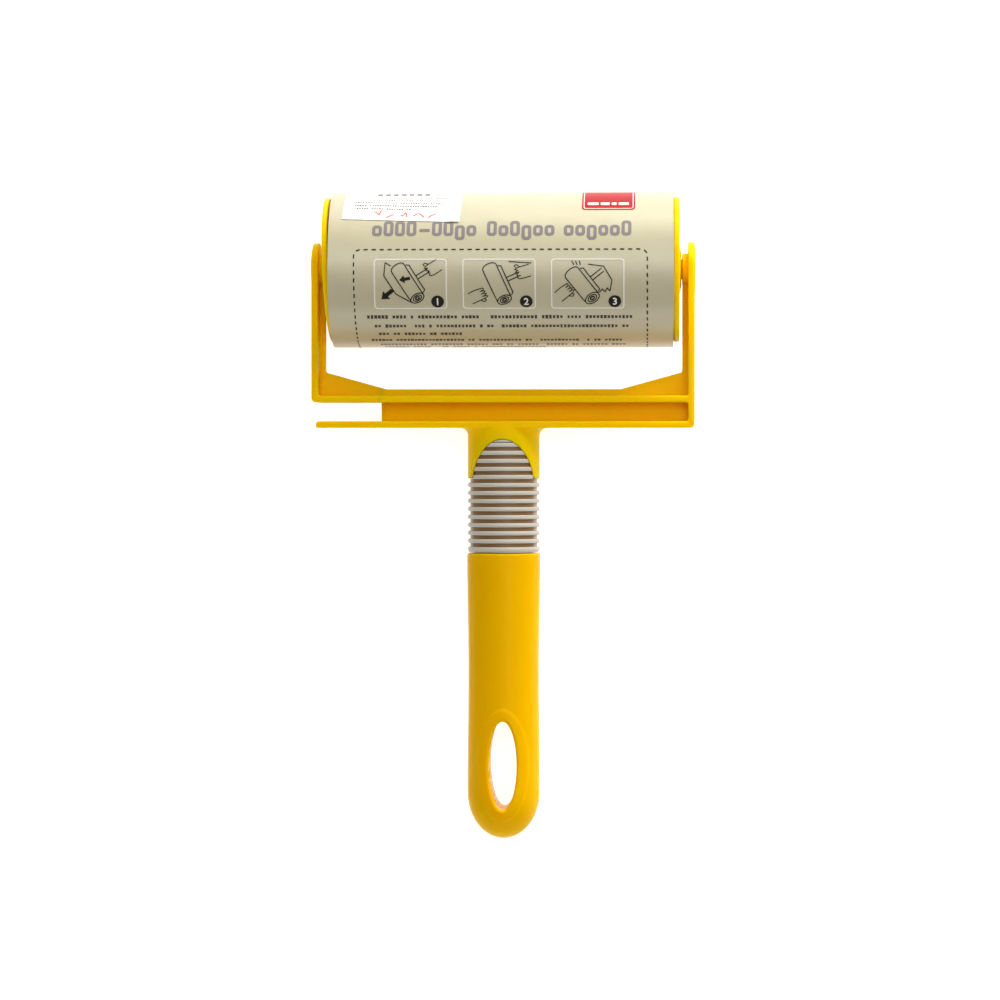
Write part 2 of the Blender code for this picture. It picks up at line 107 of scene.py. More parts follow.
def newMaterial(name, look):
    # look: two colours, the size of the patches between them, the roughness range, and the grain's
    # size and depth; sizes in mm
    made = bpy.data.materials.new(name)
    made.use_nodes = True
    tree = made.node_tree
    surface = tree.nodes["Principled BSDF"]
    place = addNode(tree, "ShaderNodeTexCoord").outputs["Object"]
    patches = addNode(tree, "ShaderNodeTexNoise", sockets={
        "Vector": place, "Scale": 1 / (look["patch"] * mm), "Detail": 3.0, "Roughness": 0.55})
    colour = addNode(tree, "ShaderNodeMix", {"data_type": "RGBA"}, {
        "Factor": patches.outputs["Fac"],
        6: linear(look["colours"][0]), 7: linear(look["colours"][1])})
    stretched = addNode(tree, "ShaderNodeMapping", sockets={
        "Vector": place, "Scale": look.get("stretch", (1.0, 1.0, 1.0))})
    grain = addNode(tree, "ShaderNodeTexNoise", sockets={
        "Vector": stretched.outputs["Vector"], "Scale": 1 / (look["grain"] * mm), "Detail": 4.0,
        "Roughness": 0.6})
    rough = addNode(tree, "ShaderNodeMapRange", sockets={
        "Value": grain.outputs["Fac"], "From Min": 0.3, "From Max": 0.7,
        "To Min": look["roughness"][0], "To Max": look["roughness"][1]})
    bump = addNode(tree, "ShaderNodeBump", sockets={
        "Height": grain.outputs["Fac"], "Distance": look["depth"] * mm, "Strength": 0.6})
    tree.links.new(colour.outputs[2], surface.inputs["Base Color"])
    tree.links.new(rough.outputs["Result"], surface.inputs["Roughness"])
    tree.links.new(bump.outputs["Normal"], surface.inputs["Normal"])
    for socket, value in look.get("surface", {}).items():
        surface.inputs[socket].default_value = value
    return made


def addDents(material, size, depth):
    # soft dents under the fine grain, for paper wrapped by hand
    tree = material.node_tree
    bump = next(n for n in tree.nodes if n.type == "BUMP")
    place = next(n for n in tree.nodes if n.type == "TEX_COORD").outputs["Object"]
    waves = addNode(tree, "ShaderNodeTexNoise", sockets={
        "Vector": place, "Scale": 1 / (size * mm), "Detail": 1.0, "Roughness": 0.4})
    soft = addNode(tree, "ShaderNodeBump", sockets={
        "Height": waves.outputs["Fac"], "Distance": depth * mm, "Strength": 0.8})
    tree.links.new(soft.outputs["Normal"], bump.inputs["Normal"])


# Polypropylene, injection moulded: an even, saturated yellow with a soft gloss, faint flow patches
# and a very fine tool texture. Light soaks a little way in, so thin walls and hollows glow. The
# specular tint keeps the gloss warm, as the pigment does.
plasticBody = {"IOR": 1.49, "Specular IOR Level": 0.07, "Specular Tint": (1.0, 0.82, 0.3, 1.0),
               "Subsurface Weight": 0.7, "Subsurface Radius": (1.0, 0.5, 0.05),
               "Subsurface Scale": 0.0022}
yellowPlastic = newMaterial("yellow_polypropylene_moulded", {
    "colours": ("#FBC800", "#FFD000"), "patch": 22.0, "roughness": (0.33, 0.42), "grain": 0.5,
    "depth": 0.004, "surface": plasticBody})

# The handle is the same plastic, with long hairline scuffs from use, drawn coarse enough to show.
handlePlastic = newMaterial("yellow_polypropylene_handled", {
    "colours": ("#F0B600", "#F4BE00"), "patch": 30.0, "roughness": (0.2, 0.3), "grain": 2.4,
    "stretch": (5.0, 0.5, 5.0), "depth": 0.006, "surface": plasticBody})

# Soft thermoplastic rubber: a warm light grey, half matt on the ribs.
ribRubber = newMaterial("grey_rubber_ribs", {
    "colours": ("#C6BFB2", "#CFC9BD"), "patch": 9.0, "roughness": (0.34, 0.48), "grain": 0.4,
    "depth": 0.01, "surface": {"IOR": 1.5, "Sheen Weight": 0.1, "Sheen Roughness": 0.4}})

# Between the ribs the floors take a warm brown: partly the yellow stem seen through thin rubber, partly
# painted shade of the grooves.
grooveBrownAndShade = newMaterial("grey_rubber_over_yellow_and_painted_shade", {
    "colours": ("#7C5B32", "#8C6C43"), "patch": 7.0, "roughness": (0.42, 0.56), "grain": 0.5,
    "depth": 0.01, "surface": {"IOR": 1.5}})


def thickenSides(material, code, start, end):
    # towards the grip's two sides the floors turn back to a light grey: partly the thicker rubber's own
    # grey, partly a painted highlight where the sides catch light from below
    tree = material.node_tree
    surface = tree.nodes["Principled BSDF"]
    grooveColour = surface.inputs["Base Color"].links[0].from_socket
    place = next(n for n in tree.nodes if n.type == "TEX_COORD").outputs["Object"]
    part = addNode(tree, "ShaderNodeSeparateXYZ", sockets={"Vector": place})
    out = addNode(tree, "ShaderNodeMath", {"operation": "ABSOLUTE"}, {0: part.outputs["X"]})
    share = addNode(tree, "ShaderNodeMapRange", sockets={
        "Value": out.outputs[0], "From Min": start * mm, "From Max": end * mm})
    blend = addNode(tree, "ShaderNodeMix", {"data_type": "RGBA"}, {
        "Factor": share.outputs["Result"], 6: grooveColour, 7: linear(code)})
    tree.links.new(blend.outputs[2], surface.inputs["Base Color"])


# the light grey towards the grip's sides is partly a painted highlight
thickenSides(grooveBrownAndShade, "#B9AF9B", 8.7, 9.4)

# Coated art paper: a pale khaki print ground with a silky gloss, fine fibres and soft dents.
sleevePaper = newMaterial("coated_paper_sleeve", {
    "colours": ("#C4BC9D", "#BEB594"), "patch": 16.0, "roughness": (0.34, 0.46), "grain": 0.35,
    "stretch": (0.6, 1.0, 1.0), "depth": 0.006,
    "surface": {"IOR": 1.5, "Coat Weight": 0.45, "Coat Roughness": 0.3}})
addDents(sleevePaper, 9.0, 0.35)

# Uncoated label paper: clean white and matt.
labelPaper = newMaterial("uncoated_label_paper", {
    "colours": ("#F6F4EE", "#F1EFE8"), "patch": 8.0, "roughness": (0.5, 0.62), "grain": 0.25,
    "depth": 0.006, "surface": {"IOR": 1.5}})

# Adhesive strip, wound tight: white paper with a faint sticky gloss.
windings = newMaterial("adhesive_paper_wound", {
    "colours": ("#ECEAE2", "#E2DFD4"), "patch": 5.0, "roughness": (0.3, 0.5), "grain": 0.3,
    "stretch": (6.0, 1.0, 1.0), "depth": 0.02, "surface": {"IOR": 1.47}})

# Spiral-wound grey board: brown, matt and fibrous.
coreBoard = newMaterial("grey_board_core", {
    "colours": ("#A48A63", "#B49A74"), "patch": 3.0, "roughness": (0.75, 0.9), "grain": 0.5,
    "stretch": (0.4, 1.0, 1.0), "depth": 0.03, "surface": {"IOR": 1.5}})

# Clear polypropylene tape: glossy, with the paper seen through it.
clearTape = newMaterial("clear_tape", {
    "colours": ("#EFEBDD", "#E9E4D4"), "patch": 6.0, "roughness": (0.12, 0.2), "grain": 1.5,
    "depth": 0.004, "surface": {"IOR": 1.47, "Transmission Weight": 0.75}})

# Offset inks: flat colours, a little glossier than the paper where they lie thick.
inkLooks = {"blackInk": ("#1F1B12", "#262117"), "textInk": ("#3A3225", "#443B2C"),
            "greyInk": ("#827A7A", "#8A8282"), "whiteInk": ("#F0EEE6", "#EAE7DD"),
            "redInk": ("#A80814", "#B00E1A"), "redPen": ("#DE5A50", "#D44A42")}
inks = {name: newMaterial("offset_" + name, {
    "colours": pair, "patch": 2.5, "roughness": (0.3, 0.42), "grain": 0.3, "depth": 0.002,
    "surface": {"IOR": 1.5, "Specular IOR Level": 0.2}}) for name, pair in inkLooks.items()}
print("materials made")


# ---------- mesh tools ----------
def skin(rows, loop=False):
    # rows of points round a body; a row of one point is a pole
    shape = bmesh.new()
    rings = [[shape.verts.new(spot) for spot in row] for row in rows]
    if loop:
        rings.append(rings[0])
    for near, far in zip(rings, rings[1:]):
        count = max(len(near), len(far))
        for i in range(count):
            j = (i + 1) % count
            corners = list(dict.fromkeys([near[i % len(near)], near[j % len(near)],
                                          far[j % len(far)], far[i % len(far)]]))
            if len(corners) > 2:
                shape.faces.new(corners)
    bmesh.ops.recalc_face_normals(shape, faces=shape.faces)
    return shape


def ovalRing(y, halfWidth, halfDepth, steps):
    return [(halfWidth * cos(2 * pi * i / steps), y, halfDepth * sin(2 * pi * i / steps))
            for i in range(steps)]


def axleRing(x, radius, steps):
    if not radius:
        return [(x, 0.0, 0.0)]
    return [(x, radius * cos(2 * pi * i / steps), radius * sin(2 * pi * i / steps))
            for i in range(steps)]


def prism(points, low, high, plane="xy"):
    shape = bmesh.new()
    order = {"xy": lambda a, b, c: (a, b, c), "yz": lambda a, b, c: (c, a, b)}[plane]
    foot = [shape.verts.new(order(a, b, low)) for a, b in points]
    head = [shape.verts.new(order(a, b, high)) for a, b in points]
    shape.faces.new(foot[::-1])
    shape.faces.new(head)
    for i in range(len(points)):
        shape.faces.new((foot[i - 1], foot[i], head[i], head[i - 1]))
    bmesh.ops.recalc_face_normals(shape, faces=shape.faces)
    return shape


def arc(centre, radii, start, end, steps):
    wide, tall = radii if isinstance(radii, tuple) else (radii, radii)
    return [(centre[0] + wide * cos(start + (end - start) * i / steps),
             centre[1] + tall * sin(start + (end - start) * i / steps)) for i in range(steps + 1)]


def roundedOutline(corners, steps=6):
    # corners are (x, y, radius)
    points = []
    for last, here, after in zip(corners[-1:] + corners[:-1], corners, corners[1:] + corners[:1]):
        spot = Vector(here[:2])
        if not here[2]:
            points.append(tuple(spot))
            continue
        back = (Vector(last[:2]) - spot).normalized()
        on = (Vector(after[:2]) - spot).normalized()
        half = back.angle(on) / 2
        centre = spot + (back + on).normalized() * (here[2] / sin(half))
        start = spot + back * (here[2] / tan(half)) - centre
        side = 1 if back.cross(on) < 0 else -1
        for i in range(steps + 1):
            points.append(tuple(centre + Matrix.Rotation(side * (pi - 2 * half) * i / steps, 2) @ start))
    return points


def cutAcross(shape, place, direction):
    bmesh.ops.bisect_plane(shape, geom=shape.verts[:] + shape.edges[:] + shape.faces[:],
                           plane_co=place, plane_no=direction)


def asObject(name, shape):
    mesh = bpy.data.meshes.new(name)
    if isinstance(shape, bmesh.types.BMesh):
        shape.to_mesh(mesh)
        shape.free()
    made = bpy.data.objects.new(name, mesh)
    bpy.context.scene.collection.objects.link(made)
    return made


def settle(piece):
    # the modifiers' result becomes the piece's own mesh
    graph = bpy.context.evaluated_depsgraph_get()
    mesh = bpy.data.meshes.new_from_object(piece.evaluated_get(graph), depsgraph=graph)
    old = piece.data
    piece.modifiers.clear()
    piece.data = mesh
    bpy.data.meshes.remove(old)


def drop(piece):
    mesh = piece.data
    bpy.data.objects.remove(piece, do_unlink=True)
    bpy.data.meshes.remove(mesh)


def combine(body, tool, operation, keep=False):
    step = body.modifiers.new(operation.lower(), "BOOLEAN")
    step.operation = operation
    step.solver = "EXACT"
    step.object = tool
    settle(body)
    if not keep:
        drop(tool)


def roundEdges(piece, width, segments=3, angle=32.0):
    step = piece.modifiers.new("edges", "BEVEL")
    step.width = width
    step.segments = segments
    step.limit_method = "ANGLE"
    step.angle_limit = radians(angle)
    settle(piece)


def finishPiece(piece, body, materials, replaced=(), smooth=35.0):
    mesh = piece.data
    shape = bmesh.new()
    shape.from_mesh(mesh)
    bmesh.ops.remove_doubles(shape, verts=shape.verts, dist=1e-5)
    bmesh.ops.dissolve_degenerate(shape, edges=shape.edges, dist=1e-5)
    bmesh.ops.holes_fill(shape, edges=[edge for edge in shape.edges if edge.is_boundary], sides=8)
    bmesh.ops.recalc_face_normals(shape, faces=shape.faces)
    loose = len([edge for edge in shape.edges if not edge.is_manifold])
    shape.to_mesh(mesh)
    shape.free()
    finish = [polygon.material_index for polygon in mesh.polygons]
    mesh.materials.clear()
    for material in materials:
        mesh.materials.append(material)
    if len(materials) > 1:
        mesh.polygons.foreach_set("material_index", finish)
    mesh.transform(toolFrame)
    mesh.polygons.foreach_set("use_smooth", [True] * len(mesh.polygons))
    mesh.set_sharp_from_angle(angle=radians(smooth))
    mesh.update()
    if body:
        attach(piece, body)
    if replaced:
        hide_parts(*replaced)
    print(piece.name, len(mesh.polygons), "faces", loose, "open edges")


# ---------- sizes shared by the pieces ----------
armLow, armHigh = toolBox("release_arm")
halfSheet, rollRadius = toolBox("protective_sleeve")[1].xy
gripFoot = toolBox("grip_sleeve")[0].y
handleLow, handleHigh = toolBox("handle")
slotRoot = (fromWorld @ Vector(joints["arm_release"]["pos_m"])).x
oval = handleHigh.z / handleHigh.x   # depth over width, of the neck, the grip and the handle

# ---------- the yellow moulding: beam, arms, neck and stem ----------
beam = {"armThick": 1.9, "armWeb": 1.7, "armTop": 9.0, "railThick": 1.95, "railSpace": 5.5,
        "webLip": 2.0, "webHalf": 1.0, "gussetRise": 5.0, "gussetRun": 18.1, "tongueShort": 1.3,
        "cornerRadius": 1.3, "inFillet": 0.7, "edge": 0.3, "bossRadius": 4.7, "pivotRadius": 3.0,
        "pivotTip": 0.9, "pivotLength": 2.2, "padRadius": 7.0, "padRise": 0.22}
neck = {"halfWidth": 10.6, "wall": 1.3, "length": 14.9, "root": 3.0, "flare": 2.4, "lip": 0.28,
        "archHalf": 9.0, "archTall": 11.6, "archPower": 1.6, "stemHalf": 7.7, "stemFoot": -111.5,
        "columns": 360}
flex = {"length": 6.0, "cuts": 10}

armOutside = -armLow.x
armInside = armOutside - beam["armThick"]
webEdge = armInside - beam["armWeb"]
halfDepth = armHigh.z
upperFoot = armLow.y
upperTop = upperFoot + beam["railThick"]
lowerTop = upperFoot - beam["railSpace"]
lowerFoot = lowerTop - beam["railThick"]
beamTop = upperTop + beam["webLip"]
neckFoot = lowerFoot - neck["length"]
tongueEnd = -(armOutside - beam["tongueShort"])
gripTop = lowerFoot - neck["root"]
midRail = (upperTop + upperFoot) / 2
midSlot = (upperFoot + lowerTop) / 2


def rails():
    # both rails and both arms in one outline, with the slot open on the left
    out, inn, fillet, top = armOutside, armInside, beam["inFillet"], beam["armTop"]
    outline = roundedOutline([
        (out, top, 0), (out, lowerFoot, beam["cornerRadius"]), (tongueEnd, lowerFoot, 0.55),
        (tongueEnd, lowerTop, 0.9), (inn, lowerTop, fillet), (inn, upperFoot, fillet),
        (-out, upperFoot, beam["cornerRadius"]), (-out, top, 0), (-inn, top, 0),
        (-inn, upperTop, fillet), (inn, upperTop, fillet), (inn, top, 0)])
    made = asObject("moulding", prism(outline, -halfDepth - 0.6, halfDepth + 0.6))
    end = [(-60.0, -halfDepth)] + arc((0.0, 0.0), halfDepth, -pi / 2, pi / 2, 28) + [(-60.0, halfDepth)]
    combine(made, asObject("armEnds", prism(end, -60.0, 60.0, "yz")), "INTERSECT")
    roundEdges(made, beam["edge"])
    return made


def web():
    # the thin plate in the middle of the beam, with a gusset up to each arm
    reach = armInside + beam["armThick"] / 2
    foot = webEdge - beam["gussetRun"]
    knee = beamTop + beam["gussetRise"]
    low = lowerTop - beam["railThick"] / 2
    outline = roundedOutline([
        (reach, low, 0), (reach, 0.0, 0), (webEdge, 0.0, 0), (webEdge, knee, 0.9), (foot, beamTop, 2.5),
        (-foot, beamTop, 2.5), (-webEdge, knee, 0.9), (-webEdge, 0.0, 0), (-reach, 0.0, 0),
        (-reach, midRail, 0), (slotRoot, midRail, 0), (slotRoot, low, 0)])
    made = asObject("web", prism(outline, -beam["webHalf"], beam["webHalf"]))
    roundEdges(made, 0.22, 2)
    return made


def pivot(side):
    # boss on the arm's inside, and the cone that the end cap runs on
    face, r, base = webEdge - 0.04, beam["bossRadius"], beam["pivotRadius"]
    end, tip = webEdge - beam["pivotLength"], beam["pivotTip"]
    profile = [(armInside + 0.9, 0.0), (armInside + 0.9, r), (face + 0.3, r), (face + 0.09, r - 0.09),
               (face, r - 0.3), (face, base + 0.2), (face - 0.15, base - 0.12),
               (end + 0.12, tip + 0.05), (end, tip - 0.2), (end, 0.0)]
    return asObject("pivot", skin([axleRing(side * x, radius, 48) for x, radius in profile]))


def collar():
    # an oval collar whose lower edge follows the window's arch on the front and the back
    outside, flare, lip = neck["halfWidth"], neck["flare"], neck["lip"]
    bore, top, flareFoot = outside - neck["wall"], lowerTop - 0.9, lowerFoot - flare
    columns = []
    for i in range(neck["columns"]):
        turn = 2 * pi * i / neck["columns"]

        def spot(halfWidth, y):
            return Vector((halfWidth * cos(turn), y, (outside if halfWidth > outside else halfWidth)
                           * oval * sin(turn)))

        def edgeAt(halfWidth):
            share = abs(halfWidth * cos(turn)) / neck["archHalf"]
            rise = neck["archTall"] * (1 - share ** 2) ** (1 / neck["archPower"]) if share < 1 else 0.0
            return neckFoot + rise

        column = [spot(outside + flare, top)]
        for k in range(9):
            rise = flare * (1 - k / 8)
            column.append(spot(outside + flare - sqrt(flare ** 2 - rise ** 2), flareFoot + rise))
        outEdge, inEdge = edgeAt(outside), edgeAt(bore)
        straight = outEdge + lip - flareFoot
        column += [spot(outside, flareFoot + straight * (k / 12)) for k in range(1, 13)]
        low, high = spot(outside, outEdge), spot(bore, inEdge)
        column += [low.lerp(high, 0.05) + Vector((0.0, lip * 0.35, 0.0)), low.lerp(high, 0.2),
                   low.lerp(high, 0.85)]
        boreFoot = inEdge + lip * 0.6
        column += [spot(bore, boreFoot + (gripTop - boreFoot) * k / 4) for k in range(5)]
        columns.append(column)
    rows = [[column[k] for column in columns] for k in range(len(columns[0]))]
    return asObject("collar", skin([[(0.0, top, 0.0)]] + rows + [[(0.0, gripTop, 0.0)]]))


def armPad(side):
    # a thin round pad on the arm's outer face, behind the pivot
    r, face = beam["padRadius"], armOutside + beam["padRise"]
    profile = [(armInside + 0.9, 0.0), (armInside + 0.9, r), (armOutside + 0.1, r), (face, r - 0.2),
               (face, 0.0)]
    return asObject("pad", skin([axleRing(side * x, radius, 64) for x, radius in profile]))


def stem():
    half, foot, top = neck["stemHalf"], neck["stemFoot"], lowerFoot - 1.5
    stations = [(top, half), (foot + 1.0, half), (foot + 0.3, half - 0.3), (foot, half - 1.0)]
    rows = [[(0.0, top, 0.0)]] + [ovalRing(y, h, h * oval, 72) for y, h in stations]
    return asObject("stem", skin(rows + [[(0.0, foot, 0.0)]]))


moulding = rails()
combine(moulding, web(), "UNION")
for side in (1, -1):
    combine(moulding, pivot(side), "UNION")
    combine(moulding, armPad(side), "UNION")
combine(moulding, collar(), "UNION")
combine(moulding, stem(), "UNION")

# the sprung arm is the same moulding: it parts at the slot's root, flush, and is cut across in rows just
# past it
armSpace = asObject("armSpace", prism(
    [(-80.0, midSlot), (slotRoot, midSlot), (slotRoot, 30.0), (-80.0, 30.0)], -30.0, 30.0))
sprungArm = asObject("sprung_arm", None)
sprungArm.data = moulding.data.copy()
combine(sprungArm, armSpace, "INTERSECT", keep=True)
combine(moulding, armSpace, "DIFFERENCE")
moulding.name = "yellow_frame"

bend = bmesh.new()
bend.from_mesh(sprungArm.data)
for i in range(1, flex["cuts"]):
    cutAcross(bend, (slotRoot - flex["length"] * i / flex["cuts"], 0.0, 0.0), (1.0, 0.0, 0.0))
bend.to_mesh(sprungArm.data)
bend.free()
finishPiece(moulding, "yoke", [yellowPlastic], ["frame"])
finishPiece(sprungArm, None, [yellowPlastic], ["release_arm"])
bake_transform(sprungArm)


# ---------- Geometry Nodes: ribs, and ink marks along lines ----------
def newTree(name, inputs):
    tree = bpy.data.node_groups.new(name, "GeometryNodeTree")
    tree.interface.new_socket("Geometry", in_out="INPUT", socket_type="NodeSocketGeometry")
    for label, kind in inputs.items():
        tree.interface.new_socket(label, in_out="INPUT", socket_type="NodeSocket" + kind)
    tree.interface.new_socket("Geometry", in_out="OUTPUT", socket_type="NodeSocketGeometry")
    return tree, tree.nodes.new("NodeGroupInput").outputs


def endTree(tree, geometry, material):
    real = addNode(tree, "GeometryNodeRealizeInstances", sockets={"Geometry": geometry})
    painted = addNode(tree, "GeometryNodeSetMaterial", sockets={
        "Geometry": real.outputs["Geometry"], "Material": material})
    addNode(tree, "NodeGroupOutput", sockets={"Geometry": painted.outputs["Geometry"]})


def grow(piece, tree, values):
    step = piece.modifiers.new(tree.name, "NODES")
    step.node_group = tree
    for item in tree.interface.items_tree:
        if item.in_out == "INPUT" and item.name in values:
            step[item.identifier] = values[item.name]
    settle(piece)


def ribTree():
    # rounded square beads swept round the grip's oval, one above another
    tree, given = newTree("gripRibs", {
        "Half Width": "Float", "Half Depth": "Float", "Bead": "Float", "Bead Radius": "Float",
        "Count": "Int", "First": "Float", "Pitch": "Float", "Material": "Material"})
    path = addNode(tree, "GeometryNodeCurvePrimitiveCircle", sockets={
        "Resolution": grip["steps"], "Radius": 1.0})
    spread = addNode(tree, "ShaderNodeCombineXYZ", sockets={
        "X": given["Half Width"], "Y": given["Half Depth"], "Z": 1.0})
    around = addNode(tree, "GeometryNodeTransform", sockets={
        "Geometry": path.outputs["Curve"], "Scale": spread.outputs["Vector"],
        "Rotation": (pi / 2, 0.0, 0.0)})
    bead = addNode(tree, "GeometryNodeCurvePrimitiveQuadrilateral", sockets={
        "Width": given["Bead"], "Height": given["Bead"]})
    soft = addNode(tree, "GeometryNodeFilletCurve", {"mode": "POLY"}, {
        "Curve": bead.outputs["Curve"], "Radius": given["Bead Radius"], "Count": 4})
    rib = addNode(tree, "GeometryNodeCurveToMesh", sockets={
        "Curve": around.outputs["Geometry"], "Profile Curve": soft.outputs["Curve"]})
    first = addNode(tree, "ShaderNodeCombineXYZ", sockets={"Y": given["First"]})
    rise = addNode(tree, "ShaderNodeCombineXYZ", sockets={"Y": given["Pitch"]})
    spots = addNode(tree, "GeometryNodeMeshLine", sockets={
        "Count": given["Count"], "Start Location": first.outputs["Vector"],
        "Offset": rise.outputs["Vector"]})
    ribs = addNode(tree, "GeometryNodeInstanceOnPoints", sockets={
        "Points": spots.outputs["Mesh"], "Instance": rib.outputs["Mesh"]})
    endTree(tree, ribs.outputs["Instances"], given["Material"])
    return tree


def markTree():
    # small blocks of ink along the carrier's lines, some left out as spaces, wrapped on the roll.
    # On the flat layout x runs along the axis and y round the roll, towards the handle.
    tree, given = newTree("inkMarks", {
        "Pitch": "Float", "Mark Length": "Float", "Mark Height": "Float", "Spaces": "Float",
        "Length Spread": "Float", "Height Spread": "Float", "Ink": "Float", "Radius": "Float",
        "Seed": "Int", "Material": "Material"})
    lines = addNode(tree, "GeometryNodeMeshToCurve", sockets={"Mesh": given["Geometry"]})
    spots = addNode(tree, "GeometryNodeCurveToPoints", {"mode": "LENGTH"}, {
        "Curve": lines.outputs["Curve"], "Length": given["Pitch"]})
    space = addNode(tree, "FunctionNodeRandomValue", {"data_type": "BOOLEAN"}, {
        "Probability": given["Spaces"], "Seed": given["Seed"]})
    left = addNode(tree, "GeometryNodeDeleteGeometry", sockets={
        "Geometry": spots.outputs["Points"], "Selection": space.outputs[3]})
    mark = addNode(tree, "ShaderNodeCombineXYZ", sockets={
        "X": given["Mark Length"], "Y": given["Mark Height"], "Z": given["Ink"]})
    block = addNode(tree, "GeometryNodeMeshCube", sockets={
        "Size": mark.outputs["Vector"], "Vertices Y": 3})
    turned = addNode(tree, "FunctionNodeAlignRotationToVector", {"axis": "X"}, {
        "Vector": spots.outputs["Tangent"]})
    wide = addNode(tree, "ShaderNodeMath", {"operation": "SUBTRACT"}, {
        0: 1.0, 1: given["Length Spread"]})
    tall = addNode(tree, "ShaderNodeMath", {"operation": "SUBTRACT"}, {
        0: 1.0, 1: given["Height Spread"]})
    least = addNode(tree, "ShaderNodeCombineXYZ", sockets={
        "X": wide.outputs[0], "Y": tall.outputs[0], "Z": 1.0})
    size = addNode(tree, "FunctionNodeRandomValue", {"data_type": "FLOAT_VECTOR"}, {
        0: least.outputs["Vector"], 1: (1.0, 1.0, 1.0), "Seed": given["Seed"]})
    marks = addNode(tree, "GeometryNodeInstanceOnPoints", sockets={
        "Points": left.outputs["Geometry"], "Instance": block.outputs["Mesh"],
        "Rotation": turned.outputs["Rotation"], "Scale": size.outputs[0]})
    real = addNode(tree, "GeometryNodeRealizeInstances", sockets={
        "Geometry": marks.outputs["Instances"]})
    here = addNode(tree, "GeometryNodeInputPosition")
    part = addNode(tree, "ShaderNodeSeparateXYZ", sockets={"Vector": here.outputs["Position"]})
    angle = addNode(tree, "ShaderNodeMath", {"operation": "DIVIDE"}, {
        0: part.outputs["Y"], 1: given["Radius"]})
    reach = addNode(tree, "ShaderNodeMath", {"operation": "ADD"}, {
        0: part.outputs["Z"], 1: given["Radius"]})
    across = addNode(tree, "ShaderNodeMath", {"operation": "SINE"}, {0: angle.outputs[0]})
    up = addNode(tree, "ShaderNodeMath", {"operation": "COSINE"}, {0: angle.outputs[0]})
    back = addNode(tree, "ShaderNodeMath", {"operation": "MULTIPLY"}, {
        0: across.outputs[0], 1: reach.outputs[0]})
    down = addNode(tree, "ShaderNodeMath", {"operation": "MULTIPLY"}, {0: back.outputs[0], 1: -1.0})
    high = addNode(tree, "ShaderNodeMath", {"operation": "MULTIPLY"}, {
        0: up.outputs[0], 1: reach.outputs[0]})
    wrapped = addNode(tree, "ShaderNodeCombineXYZ", sockets={
        "X": part.outputs["X"], "Y": down.outputs[0], "Z": high.outputs[0]})
    placed = addNode(tree, "GeometryNodeSetPosition", sockets={
        "Geometry": real.outputs["Geometry"], "Position": wrapped.outputs["Vector"]})
    endTree(tree, placed.outputs["Geometry"], given["Material"])
    return tree


# ---------- the grip ----------
grip = {"floorHalf": 9.85, "rimHalf": 10.4, "bore": 8.0, "bead": 1.25, "beadRadius": 0.42, "pitch": 2.36,
        "seatGap": 0.3, "footRim": 0.3, "steps": 144}


def ovalTube(stations):
    return skin([ovalRing(y, half, half * oval, grip["steps"]) for y, half in stations], loop=True)


def makeGrip():
    top, foot = gripTop - 0.3, gripFoot
    low = foot + grip["footRim"] + grip["bead"] / 2
    count = int((top - low) / grip["pitch"]) + 1
    ribs = asObject("ribs", None)
    grow(ribs, ribTree(), {
        "Half Width": neck["halfWidth"] - grip["bead"] / 2,
        "Half Depth": neck["halfWidth"] * oval - grip["bead"] / 2, "Bead": grip["bead"],
        "Bead Radius": grip["beadRadius"], "Count": count, "First": low, "Pitch": grip["pitch"],
        "Material": ribRubber})
    floor, bore, rim = grip["floorHalf"], grip["bore"], grip["rimHalf"]
    stations = [(top, bore), (top, rim - 0.2), (top - 0.15, rim), (top - 0.7, rim),
                (top - 0.85, rim - 0.2), (top - 0.85, floor), (foot + 0.35, floor),
                (foot + 0.35, rim - 0.1), (foot, rim - 0.1), (foot, bore)]
    made = asObject("grip_rubber", ovalTube(stations))
    combine(made, ribs, "UNION")
    gap = grip["seatGap"] / 2      # the seat is cut from the rubber where the collar covers it
    outside, inside = neck["halfWidth"] + 2.0, neck["halfWidth"] - neck["wall"] - gap
    seat = asObject("seat", ovalTube([(neckFoot - gap, outside), (lowerTop, outside), (lowerTop, inside),
                                      (neckFoot - gap, inside)]))
    wide, tall = neck["archHalf"] - gap, neck["archTall"] - gap
    arch = [(wide * k / 40, neckFoot + tall * (1 - (k / 40) ** 2) ** (1 / neck["archPower"]))
            for k in range(-40, 41)]
    window = prism(arch + [(wide, neckFoot - 5.0), (-wide, neckFoot - 5.0)], -20.0, 20.0)
    combine(seat, asObject("window", window), "DIFFERENCE")
    combine(made, seat, "DIFFERENCE")
    for face in made.data.polygons:   # the floors between the ribs take the brown with its painted groove shade
        x, y, z = face.center
        proud = sqrt((x / floor) ** 2 + (z / (floor * oval)) ** 2)
        face.material_index = 0 if proud > 1.006 else 1
    finishPiece(made, "yoke", [ribRubber, grooveBrownAndShade], ["grip_sleeve"], 40.0)


makeGrip()

# ---------- the handle ----------
handle = {"waistIn": 0.4, "footIn": 0.15, "topRadius": 0.7, "endLength": 13.5, "holeHalf": (4.1, 13.05),
          "holeFromEnd": 22.0, "padHalf": (8.0, 16.8), "padRise": 0.24, "padEdge": 0.6,
          "holeRound": 0.8, "bore": 8.0, "columns": 200, "fineStep": 0.34, "coarseStep": 1.3}


def ellipseGap(x, y, half):
    # distance outside an ellipse, near its edge
    share = sqrt((x / half[0]) ** 2 + (y / half[1]) ** 2)
    if share < 1e-6:
        return -half[0]
    slope = sqrt((x / half[0] ** 2) ** 2 + (y / half[1] ** 2) ** 2) / share
    return (share - 1) / slope


def smoothStep(t):
    t = min(max(t, 0.0), 1.0)
    return t * t * (3 - 2 * t)


